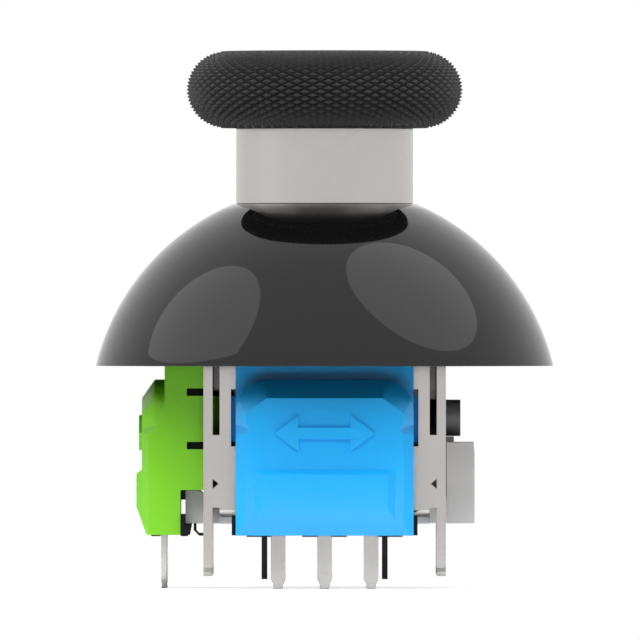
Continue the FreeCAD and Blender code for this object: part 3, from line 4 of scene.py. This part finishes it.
import bmesh
import bpy
from mathutils import Matrix, Vector

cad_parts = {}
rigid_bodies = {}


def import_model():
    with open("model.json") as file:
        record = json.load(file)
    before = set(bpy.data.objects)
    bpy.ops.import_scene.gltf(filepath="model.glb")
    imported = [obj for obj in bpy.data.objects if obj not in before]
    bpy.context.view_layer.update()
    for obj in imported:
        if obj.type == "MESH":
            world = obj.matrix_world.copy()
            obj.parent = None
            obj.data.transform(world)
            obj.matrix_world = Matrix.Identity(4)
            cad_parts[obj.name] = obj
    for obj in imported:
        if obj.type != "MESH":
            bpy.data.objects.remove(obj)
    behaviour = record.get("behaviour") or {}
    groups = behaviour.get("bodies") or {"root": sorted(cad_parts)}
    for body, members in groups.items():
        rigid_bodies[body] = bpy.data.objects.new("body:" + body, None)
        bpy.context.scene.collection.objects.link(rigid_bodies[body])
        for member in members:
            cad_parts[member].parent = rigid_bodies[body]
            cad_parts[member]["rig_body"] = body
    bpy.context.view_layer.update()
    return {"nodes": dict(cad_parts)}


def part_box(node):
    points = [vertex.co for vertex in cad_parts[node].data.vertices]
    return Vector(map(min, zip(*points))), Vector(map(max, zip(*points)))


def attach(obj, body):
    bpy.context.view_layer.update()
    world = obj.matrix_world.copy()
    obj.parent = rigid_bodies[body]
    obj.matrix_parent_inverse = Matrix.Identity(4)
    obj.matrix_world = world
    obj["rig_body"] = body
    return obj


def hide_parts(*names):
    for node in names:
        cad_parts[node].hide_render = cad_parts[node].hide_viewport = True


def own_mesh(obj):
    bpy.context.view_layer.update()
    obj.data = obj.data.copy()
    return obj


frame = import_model()
MM = 0.001


# Steel frame: 0.5 mm sheet, tin plated, stamped and folded into a box with four legs that are
# soldered in the circuit board. The plating is satin, with faint streaks of the rolling along
# the sheet, and the stamped edges are slightly rounded.

def link(tree, output, target):
    tree.links.new(output, target)


def feed(tree, value, socket):
    """Set a socket to a number, or link another node's output to it."""
    if isinstance(value, (int, float)):
        socket.default_value = value
    else:
        link(tree, value, socket)


def math_node(tree, operation, first, second):
    """The result of a math node on two values, each a number or a node's output."""
    node = tree.nodes.new("ShaderNodeMath")
    node.operation = operation
    feed(tree, first, node.inputs[0])
    feed(tree, second, node.inputs[1])
    return node.outputs["Value"]


def effect_group(name, inputs, outputs):
    """An empty shader node group with named sockets, each (name, socket type, value)."""
    group = bpy.data.node_groups.new(name, "ShaderNodeTree")
    for socket_name, kind, value in inputs:
        socket = group.interface.new_socket(socket_name, in_out="INPUT", socket_type=kind)
        socket.default_value = value
    for socket_name, kind in outputs:
        group.interface.new_socket(socket_name, in_out="OUTPUT", socket_type=kind)
    entry = group.nodes.new("NodeGroupInput")
    result = group.nodes.new("NodeGroupOutput")
    return group, entry, result


def noise(tree, vector, scale, detail):
    node = tree.nodes.new("ShaderNodeTexNoise")
    node.inputs["Detail"].default_value = detail
    node.inputs["Roughness"].default_value = 0.55
    link(tree, vector, node.inputs["Vector"])
    feed(tree, scale, node.inputs["Scale"])
    return node.outputs["Fac"]


def spread(tree, value, low, high):
    """Map the middle part of a noise, where most of its values lie, to a range."""
    node = tree.nodes.new("ShaderNodeMapRange")
    node.inputs["From Min"].default_value = 0.3
    node.inputs["From Max"].default_value = 0.7
    link(tree, value, node.inputs["Value"])
    feed(tree, low, node.inputs["To Min"])
    feed(tree, high, node.inputs["To Max"])
    return node.outputs["Result"]


def tinted(tree, colour, strength):
    """A colour made lighter or darker by a value."""
    node = tree.nodes.new("ShaderNodeMix")
    node.data_type = "RGBA"
    node.blend_type = "MULTIPLY"
    node.inputs["Factor"].default_value = 1.0
    link(tree, colour, node.inputs["A"])
    link(tree, strength, node.inputs["B"])
    return node.outputs["Result"]


def uneven(tree, entry, result, patches, gloss_noise, glossy, dull):
    """Darken the group's colour in patches, and vary its roughness between two shares of it."""
    darkest = math_node(tree, "SUBTRACT", 1.0, entry.outputs["Unevenness"])
    shade = spread(tree, patches, darkest, 1.0)
    link(tree, tinted(tree, entry.outputs["Colour"], shade), result.inputs["Colour"])
    share = spread(tree, gloss_noise, glossy, dull)
    rough = math_node(tree, "MULTIPLY", entry.outputs["Roughness"], share)
    link(tree, rough, result.inputs["Roughness"])


def make_rolled_sheet():
    """Streaks and blotches of plated or drawn metal: colour, roughness and height."""
    group, entry, result = effect_group(
        "Rolled Sheet",
        [("Colour", "NodeSocketColor", (0.5, 0.5, 0.5, 1.0)),
         ("Roughness", "NodeSocketFloat", 0.35),
         ("Streak", "NodeSocketVector", (1.0, 1.0, 1.0)),
         ("Unevenness", "NodeSocketFloat", 0.06)],
        [("Colour", "NodeSocketColor"), ("Roughness", "NodeSocketFloat"), ("Height", "NodeSocketFloat")])
    place = group.nodes.new("ShaderNodeTexCoord")
    stretch = group.nodes.new("ShaderNodeMapping")
    link(group, place.outputs["Object"], stretch.inputs["Vector"])
    link(group, entry.outputs["Streak"], stretch.inputs["Scale"])
    streaks = noise(group, stretch.outputs["Vector"], 900.0, 4.0)
    blotches = noise(group, place.outputs["Object"], 260.0, 2.0)
    uneven(group, entry, result, blotches, streaks, glossy=0.85, dull=1.2)
    link(group, streaks, result.inputs["Height"])
    return group


def finish_with(name, group, values, metallic=0.0, bump=0.1, depth=0.01, settings=()):
    """A material whose colour, roughness and bump come from an effect group."""
    material = bpy.data.materials.new(name)
    material.use_nodes = True
    tree = material.node_tree
    surface = tree.nodes["Principled BSDF"]
    effect = tree.nodes.new("ShaderNodeGroup")
    effect.node_tree = group
    for socket, value in values.items():
        effect.inputs[socket].default_value = value
    relief = tree.nodes.new("ShaderNodeBump")
    relief.inputs["Strength"].default_value = bump
    relief.inputs["Distance"].default_value = depth * MM
    link(tree, effect.outputs["Colour"], surface.inputs["Base Color"])
    link(tree, effect.outputs["Roughness"], surface.inputs["Roughness"])
    link(tree, effect.outputs["Height"], relief.inputs["Height"])
    link(tree, relief.outputs["Normal"], surface.inputs["Normal"])
    surface.inputs["Metallic"].default_value = metallic
    for socket, value in settings:
        surface.inputs[socket].default_value = value
    return material


def place_piece(name, mesh, material, node):
    """Show a finished mesh in place of its solid, on the same body."""
    piece = bpy.data.objects.new(name, mesh)
    bpy.context.scene.collection.objects.link(piece)
    mesh.materials.clear()
    mesh.materials.append(material)
    for face in mesh.polygons:
        face.use_smooth = True
    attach(piece, frame["nodes"][node]["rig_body"])
    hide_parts(node)
    return piece


WELD_REACH = 0.002
FLAT_ANGLE = 1.0
EDGE_ANGLE = 32.0


def softened(node, material, edge, segments=2, convex=False, bends=()):
    """The solid's own shape, with its edges rounded to a width in millimetres.

    Convex first cuts hollow flat faces in convex ones, which shade evenly. Bends are edges with a
    wider rounding, each given as (test of the two ends, width, segments)."""
    mesh = bpy.data.meshes.new(node + "_softened")
    bm = bmesh.new()
    bm.from_mesh(frame["nodes"][node].data)
    bmesh.ops.remove_doubles(bm, verts=bm.verts, dist=WELD_REACH * MM)
    bmesh.ops.dissolve_limit(bm, angle_limit=math.radians(FLAT_ANGLE), verts=bm.verts, edges=bm.edges,
                             use_dissolve_boundaries=False, delimit=set())
    if convex:
        bmesh.ops.connect_verts_concave(bm, faces=bm.faces)
    for chosen, width, steps in bends:
        edges = [e for e in bm.edges if chosen(e.verts[0].co / MM, e.verts[1].co / MM)]
        bmesh.ops.bevel(bm, geom=edges, offset=width * MM, offset_type="OFFSET", affect="EDGES",
                        segments=steps, profile=0.5, material=-1)
    bm.to_mesh(mesh)
    bm.free()
    if "custom_normal" in mesh.attributes:
        mesh.attributes.remove(mesh.attributes["custom_normal"])
    piece = place_piece(node + "_finished", mesh, material, node)
    bevel = piece.modifiers.new("Rounded edges", "BEVEL")
    bevel.width = edge * MM
    bevel.segments = segments
    bevel.limit_method = "ANGLE"
    bevel.angle_limit = math.radians(EDGE_ANGLE)
    bevel.miter_outer = "MITER_ARC"
    even = piece.modifiers.new("Even shading", "WEIGHTED_NORMAL")
    even.keep_sharp = True
    return piece


rolled_sheet = make_rolled_sheet()
PLATED_STEEL = (0.50, 0.476, 0.458, 1.0)
frame_steel = finish_with("Tin plated frame steel", rolled_sheet,
                          {"Colour": PLATED_STEEL, "Roughness": 0.2, "Streak": (1.0, 1.0, 14.0),
                           "Unevenness": 0.05},
                          metallic=1.0, bump=0.12, depth=0.006)
PLATE_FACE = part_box("frame")[1].y / MM
LIP_FOOT = 3.95
LIP_BEND = 0.32
NEAR = 0.01


def lip_bend(start, end):
    """The edge where a lip is bent inward below the front or the back plate."""
    low = max(abs(start.z - LIP_FOOT), abs(end.z - LIP_FOOT)) < NEAR
    return low and min(abs(start.y), abs(end.y)) > PLATE_FACE - NEAR


softened("frame", frame_steel, edge=0.05, bends=[(lip_bend, LIP_BEND, 4)])


# Base: one light grey moulding with the floor, the two lugs that carry the sensors and the
# block that the free journal lies on. Fine spark texture of the mould on its flat faces.

def make_mould_skin():
    """Skin of a moulding: fine grain, slow changes of shade and gloss."""
    group, entry, result = effect_group(
        "Mould Skin",
        [("Colour", "NodeSocketColor", (0.5, 0.5, 0.5, 1.0)),
         ("Roughness", "NodeSocketFloat", 0.45),
         ("Grain Scale", "NodeSocketFloat", 9000.0),
         ("Unevenness", "NodeSocketFloat", 0.05)],
        [("Colour", "NodeSocketColor"), ("Roughness", "NodeSocketFloat"), ("Height", "NodeSocketFloat")])
    place = group.nodes.new("ShaderNodeTexCoord")
    grain = noise(group, place.outputs["Object"], entry.outputs["Grain Scale"], 2.0)
    flow = noise(group, place.outputs["Object"], 180.0, 2.0)
    uneven(group, entry, result, flow, flow, glossy=0.92, dull=1.1)
    link(group, grain, result.inputs["Height"])
    return group


mould_skin = make_mould_skin()
base_plastic = finish_with("Light grey base moulding", mould_skin,
                           {"Colour": (0.78, 0.775, 0.77, 1.0), "Roughness": 0.5,
                            "Grain Scale": 8000.0, "Unevenness": 0.06},
                           bump=0.2, depth=0.008)
softened("base", base_plastic, edge=0.06)


# Push switch at the back: black housing, a steel cover with tabs hooked over it, a snap dome
# under a white plunger, and four thin terminals that come out of the housing's sides.

switch_plastic = finish_with("Black switch housing", mould_skin,
                             {"Colour": (0.012, 0.012, 0.013, 1.0), "Roughness": 0.42,
                              "Grain Scale": 9000.0, "Unevenness": 0.1},
                             bump=0.15, depth=0.008)
plunger_plastic = finish_with("White switch plunger", mould_skin,
                              {"Colour": (0.66, 0.65, 0.62, 1.0), "Roughness": 0.38,
                               "Grain Scale": 9000.0, "Unevenness": 0.04},
                              bump=0.1, depth=0.006)
pin_metal = finish_with("Dull pin metal", rolled_sheet,
                        {"Colour": (0.495, 0.482, 0.468, 1.0), "Roughness": 0.2,
                         "Streak": (1.0, 1.0, 0.15), "Unevenness": 0.1},
                        metallic=1.0, bump=0.15, depth=0.006)
# The terminals are tinned metal like the sensor pins. Their near black colour is painted shade, standing
# in for the shadow they lie in behind the switch housing.
shade_painted_terminal_metal = finish_with("Tarnished terminal metal", rolled_sheet,
                             {"Colour": (0.04, 0.04, 0.041, 1.0), "Roughness": 0.3,
                              "Streak": (1.0, 1.0, 0.15), "Unevenness": 0.12},
                             metallic=1.0, bump=0.15, depth=0.006)
softened("switch_body", switch_plastic, edge=0.06)
softened("switch_cover", frame_steel, edge=0.03)
softened("switch_plunger", plunger_plastic, edge=0.05)
softened("switch_dome", frame_steel, edge=0.01, segments=1)
for number in range(1, 5):
    softened("switch_pin_%d" % number, shade_painted_terminal_metal, edge=0.03)


# Return spring and its cup: plain carbon steel wire, ground flat at its ends, under a slippery
# grey cup that the arms press down.

spring_steel = finish_with("Drawn spring wire", rolled_sheet,
                           {"Colour": (0.36, 0.35, 0.34, 1.0), "Roughness": 0.25,
                            "Streak": (1.0, 1.0, 1.0), "Unevenness": 0.12},
                           metallic=1.0, bump=0.1, depth=0.004)
arm_plastic = finish_with("Grey arm moulding", mould_skin,
                          {"Colour": (0.17, 0.17, 0.172, 1.0), "Roughness": 0.48,
                           "Grain Scale": 8000.0, "Unevenness": 0.04},
                          bump=0.15, depth=0.008)
softened("spring_seat", arm_plastic, edge=0.06)
spring = softened("return_spring", spring_steel, edge=0.02, segments=1)
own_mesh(spring)


# Gimbal arms: two slippery grey mouldings that cross under the lever, each with a journal at
# one end and a flat tongue that turns a sensor's rotor at the other.

softened("lower_arm", arm_plastic, edge=0.06, convex=True)
softened("upper_arm", arm_plastic, edge=0.06)


# Lever: turned steel shaft with a square foot and a flattened head, on a hardened cross pin.

lever_steel = finish_with("Turned lever steel", rolled_sheet,
                          {"Colour": (0.46, 0.45, 0.44, 1.0), "Roughness": 0.24,
                           "Streak": (1.0, 1.0, 20.0), "Unevenness": 0.05},
                          metallic=1.0, bump=0.12, depth=0.005)
softened("lever", lever_steel, edge=0.06)
softened("lever_pin", lever_steel, edge=0.04)


# Sensors: each has a black back plate with small feet and a thin hook, a board with its chip, a
# rotor with a disc magnet glued in, and three flat tinned pins.

black_plastic = finish_with("Black back plate moulding", mould_skin,
                            {"Colour": (0.006, 0.006, 0.0065, 1.0), "Roughness": 0.5,
                             "Grain Scale": 8000.0, "Unevenness": 0.1},
                            bump=0.2, depth=0.008, settings=[("Specular IOR Level", 0.15)])
rotor_plastic = finish_with("Dark rotor moulding", mould_skin,
                            {"Colour": (0.03, 0.031, 0.034, 1.0), "Roughness": 0.4,
                             "Grain Scale": 8000.0, "Unevenness": 0.08},
                            bump=0.15, depth=0.008)
magnet_metal = finish_with("Nickel plated magnet", rolled_sheet,
                           {"Colour": (0.52, 0.50, 0.46, 1.0), "Roughness": 0.18,
                            "Streak": (1.0, 1.0, 1.0), "Unevenness": 0.05},
                           metallic=1.0, bump=0.05, depth=0.004)
board_laminate = finish_with("Green board laminate", mould_skin,
                             {"Colour": (0.01, 0.10, 0.035, 1.0), "Roughness": 0.35,
                              "Grain Scale": 3000.0, "Unevenness": 0.15},
                             bump=0.2, depth=0.01)
for side in ("front", "side"):
    softened(side + "_back", black_plastic, edge=0.05)
    softened(side + "_board", board_laminate, edge=0.03)
    softened(side + "_chip", black_plastic, edge=0.05)
    softened(side + "_rotor", rotor_plastic, edge=0.05)
    softened(side + "_magnet", magnet_metal, edge=0.04)
    for number in range(1, 4):
        softened("%s_pin_%d" % (side, number), pin_metal, edge=0.04)


# Sensor covers: glossy coloured caps, blue at the front and green at the side, snapped into
# the frame's windows. Each has a raised pad, a lower belly and a raised axis mark.

blue_plastic = finish_with("Blue cover moulding", mould_skin,
                           {"Colour": (0.008, 0.42, 0.93, 1.0), "Roughness": 0.34,
                            "Grain Scale": 8000.0, "Unevenness": 0.04},
                           bump=0.1, depth=0.006)
green_plastic = finish_with("Green cover moulding", mould_skin,
                            {"Colour": (0.21, 0.66, 0.012, 1.0), "Roughness": 0.34,
                             "Grain Scale": 8000.0, "Unevenness": 0.04},
                            bump=0.1, depth=0.006)
softened("front_cover", blue_plastic, edge=0.06, segments=3, convex=True)
softened("side_cover", green_plastic, edge=0.06, segments=3, convex=True)


# Cap: one glossy black moulding, with the dome that hides the opening of the housing, the
# neck, and the disc that the grip is moulded over. Polished mould, so it mirrors the lights.

cap_plastic = finish_with("Glossy black cap moulding", mould_skin,
                          {"Colour": (0.003, 0.003, 0.0031, 1.0), "Roughness": 0.035,
                           "Grain Scale": 4000.0, "Unevenness": 0.03},
                          bump=0.02, depth=0.002, settings=[("Specular IOR Level", 0.47)])
softened("cap_body", cap_plastic, edge=0.05, convex=True)


# Wear collar: a deep drawn steel ring pressed on the neck, satin polished round and round, so
# that the stick doesn't wear through where it rubs on the housing.

collar_steel = finish_with("Satin collar steel", rolled_sheet,
                           {"Colour": (0.505, 0.482, 0.465, 1.0), "Roughness": 0.3,
                            "Streak": (1.0, 1.0, 18.0), "Unevenness": 0.02},
                           metallic=1.0, bump=0.04, depth=0.003)


def turned(outline, steps):
    """A closed outline of (radius, height) in millimetres spun about the stick's axis."""
    bm = bmesh.new()
    corners = [bm.verts.new((radius * MM, 0.0, height * MM)) for radius, height in outline]
    edges = [bm.edges.new((corners[i - 1], corners[i])) for i in range(len(corners))]
    bmesh.ops.spin(bm, geom=corners + edges, cent=(0.0, 0.0, 0.0), axis=(0.0, 0.0, 1.0),
                   angle=2.0 * math.pi, steps=steps, use_merge=True)
    bmesh.ops.remove_doubles(bm, verts=bm.verts, dist=0.0005 * MM)
    bmesh.ops.recalc_face_normals(bm, faces=bm.faces)
    return bm


def rounded(outline, radius, steps=5):
    """The outline with each corner (r, z, True) rounded by an arc; a corner (r, z) stays."""
    points = []
    for i, corner in enumerate(outline):
        here = Vector(corner[:2])
        if len(corner) == 2:
            points.append(tuple(here))
            continue
        before = (Vector(outline[i - 1][:2]) - here).normalized()
        after = (Vector(outline[(i + 1) % len(outline)][:2]) - here).normalized()
        half = before.angle(after) / 2.0
        middle = here + (before + after).normalized() * (radius / math.sin(half))
        start = here + before * (radius / math.tan(half)) - middle
        end = here + after * (radius / math.tan(half)) - middle
        turn = math.atan2(start.x * end.y - start.y * end.x, start.dot(end))
        for k in range(steps + 1):
            spoke = Vector(start)
            spoke.rotate(Matrix.Rotation(turn * k / steps, 2))
            points.append(tuple(middle + spoke))
    return points


COLLAR_WALL = 0.6
COLLAR_ROUNDING = 0.05
COLLAR_STEPS = 180
collar_low, collar_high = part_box("wear_collar")
collar_outer = collar_high.x / MM
collar_inner = collar_outer - COLLAR_WALL
collar_foot = collar_low.z / MM
collar_top = collar_high.z / MM
collar_outline = rounded([(collar_inner, collar_foot), (collar_outer, collar_foot, True),
                          (collar_outer, collar_top, True), (collar_inner, collar_top)],
                         COLLAR_ROUNDING)
collar_bm = turned(collar_outline, COLLAR_STEPS)
collar_mesh = bpy.data.meshes.new("wear_collar_turned")
collar_bm.to_mesh(collar_mesh)
collar_bm.free()
collar = place_piece("wear_collar_finished", collar_mesh, collar_steel, "wear_collar")
collar_even = collar.modifiers.new("Even shading", "WEIGHTED_NORMAL")
collar_even.keep_sharp = True


# Thumb grip: matt black rubber moulded over the cap's disc. Its half-round edge carries a fine
# diamond knurl, and its top is dished for the thumb.

grip_rubber = finish_with("Matt black grip rubber", mould_skin,
                          {"Colour": (0.018, 0.018, 0.0185, 1.0), "Roughness": 0.62,
                           "Grain Scale": 6000.0, "Unevenness": 0.12},
                          bump=0.25, depth=0.01)
DIAMONDS_ROUND = 53
KNURL_ROWS = 16
KNURL_DEPTH = 0.23
grip_low, grip_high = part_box("thumb_grip")
grip_radius = grip_high.x / MM
grip_foot = grip_low.z / MM
grip_top = grip_high.z / MM
edge_round = (grip_top - grip_foot) / 2.0
edge_centre = grip_radius - edge_round
edge_height = (grip_top + grip_foot) / 2.0
COLLAR_MOUTH = 4.3
DISH_RADIUS = 5.15
DISH_DEPTH = 1.2
DISH_STEPS = 12
RECESS_DEPTH = 0.6
row_turn = math.pi / (2 * KNURL_ROWS)
grip_outline = []
for row in range(2 * KNURL_ROWS + 1):
    angle = -math.pi / 2.0 + row * row_turn
    grip_outline.append((edge_centre + edge_round * math.cos(angle),
                         edge_height + edge_round * math.sin(angle)))
dish_curve = (DISH_RADIUS ** 2 + DISH_DEPTH ** 2) / (2.0 * DISH_DEPTH)
for step in range(DISH_STEPS + 1):
    reach = DISH_RADIUS * (1.0 - step / DISH_STEPS)
    drop = math.sqrt(dish_curve ** 2 - reach ** 2) - (dish_curve - DISH_DEPTH)
    grip_outline.append((reach, grip_top - drop))
grip_outline.append((0.0, grip_foot + RECESS_DEPTH))
grip_outline.append((COLLAR_MOUTH, grip_foot + RECESS_DEPTH))
grip_outline.append((COLLAR_MOUTH, grip_foot))
grip_bm = turned(grip_outline, 2 * DIAMONDS_ROUND)
column_turn = math.pi / DIAMONDS_ROUND
sunk = set()
for vert in grip_bm.verts:
    out = math.hypot(vert.co.x, vert.co.y) / MM - edge_centre
    up = vert.co.z / MM - edge_height
    if out < 0.02 or abs(math.hypot(out, up) - edge_round) > 0.01:
        continue
    row = round((math.atan2(up, out) + math.pi / 2.0) / row_turn)
    column = round(math.atan2(vert.co.y, vert.co.x) / column_turn)
    if (row + column) % 2:
        sunk.add(vert)
        inward = Vector((vert.co.x, vert.co.y, 0.0)).normalized() * out + Vector((0.0, 0.0, up))
        vert.co -= inward.normalized() * (KNURL_DEPTH * MM)
for face in [f for f in grip_bm.faces if len(f.verts) == 4]:
    low_corners = [v for v in face.verts if v in sunk]
    if len(low_corners) == 2:
        bmesh.utils.face_split(face, low_corners[0], low_corners[1])
grip_mesh = bpy.data.meshes.new("thumb_grip_moulded")
grip_bm.to_mesh(grip_mesh)
grip_bm.free()
place_piece("thumb_grip_finished", grip_mesh, grip_rubber, "thumb_grip")
grip_mesh.set_sharp_from_angle(angle=math.radians(25.0))


# Studio: pale floor, plain white surroundings, two round soft boxes at the left and the right
# that the dome mirrors, and key lamps in front and overhead that only light. The camera looks
# level at the front from afar, as in the photograph.

world = bpy.data.worlds.new("White studio")
bpy.context.scene.world = world
world.use_nodes = True
sky = world.node_tree
backdrop = sky.nodes["Background"]
backdrop.inputs["Color"].default_value = (1.0, 1.0, 1.0, 1.0)
ray = sky.nodes.new("ShaderNodeLightPath")
seen = math_node(sky, "MAXIMUM", ray.outputs["Is Camera Ray"], ray.outputs["Is Glossy Ray"])
seen_through = math_node(sky, "MAXIMUM", seen, ray.outputs["Is Transmission Ray"])
STUDIO_LIGHT = 0.05
level = sky.nodes.new("ShaderNodeMapRange")
level.inputs["To Min"].default_value = STUDIO_LIGHT
level.inputs["To Max"].default_value = 1.0
link(sky, seen_through, level.inputs["Value"])
link(sky, level.outputs["Result"], backdrop.inputs["Strength"])


LAMP_DISTANCE = 0.5
LAMP_AIM_HEIGHT = 0.01


def round_lamp(name, azimuth, elevation, across, radiance, mirrored):
    """A round lamp that faces the object. Radiance 1 is as bright as the white surroundings. A
    mirrored lamp shows only in glossy faces, the others only light."""
    lamp = bpy.data.lights.new(name, "AREA")
    lamp.shape = "DISK"
    lamp.size = across
    lamp.energy = radiance * math.pi * (across / 2.0) ** 2 * math.pi
    holder = bpy.data.objects.new(name, lamp)
    bpy.context.scene.collection.objects.link(holder)
    turn = math.radians(azimuth)
    rise = math.radians(elevation)
    away = Vector((math.sin(turn) * math.cos(rise), -math.cos(turn) * math.cos(rise), math.sin(rise)))
    holder.location = away * LAMP_DISTANCE + Vector((0.0, 0.0, LAMP_AIM_HEIGHT))
    holder.rotation_mode = "QUATERNION"
    holder.rotation_quaternion = away.to_track_quat("Z", "Y")
    holder.visible_glossy = mirrored
    holder.visible_diffuse = not mirrored
    holder.visible_camera = False


round_lamp("Left soft box", -81.2, 36.4, 0.52, 0.85, True)
round_lamp("Right soft box", 78.8, 54.2, 0.512, 0.85, True)
round_lamp("Left key lamp", -30.0, 52.0, 0.44, 3.0, False)
round_lamp("Right key lamp", 14.0, 52.0, 0.44, 2.2, False)
round_lamp("Overhead lamp", 0.0, 88.0, 0.5, 8.0, False)

FLOOR_RADIUS = 0.03
FLOOR_LIFT = 0.68
floor_mesh = bpy.data.meshes.new("floor")
floor_bm = bmesh.new()
bmesh.ops.create_circle(floor_bm, cap_ends=True, segments=96, radius=FLOOR_RADIUS)
floor_bm.to_mesh(floor_mesh)
floor_bm.free()
floor = bpy.data.objects.new("floor", floor_mesh)
bpy.context.scene.collection.objects.link(floor)
pale = bpy.data.materials.new("Pale floor")
pale.use_nodes = True
pale_tree = pale.node_tree
pale_surface = pale_tree.nodes["Principled BSDF"]
pale_surface.inputs["Base Color"].default_value = (0.8, 0.8, 0.8, 1.0)
pale_surface.inputs["Roughness"].default_value = 0.9
pale_surface.inputs["Specular IOR Level"].default_value = 0.0
pale_ray = pale_tree.nodes.new("ShaderNodeLightPath")
pale_lift = math_node(pale_tree, "MULTIPLY", pale_ray.outputs["Is Camera Ray"], FLOOR_LIFT)
pale_surface.inputs["Emission Color"].default_value = (1.0, 1.0, 1.0, 1.0)
link(pale_tree, pale_lift, pale_surface.inputs["Emission Strength"])
floor_mesh.materials.append(pale)

CAMERA_ASIDE = -0.00025
CAMERA_DISTANCE = 1.5
CAMERA_HEIGHT = 0.01449
camera_data = bpy.data.cameras.new("Front camera")
camera_data.sensor_width = 36.0
camera_data.lens = 1560.0
camera_data.clip_start = 0.1
camera_data.clip_end = 10.0
camera = bpy.data.objects.new("Front camera", camera_data)
bpy.context.scene.collection.objects.link(camera)
camera.location = (CAMERA_ASIDE, -CAMERA_DISTANCE, CAMERA_HEIGHT)
camera.rotation_euler = (math.pi / 2.0, 0.0, 0.0)
bpy.context.scene.camera = camera

bpy.context.scene.view_settings.view_transform = "Standard"
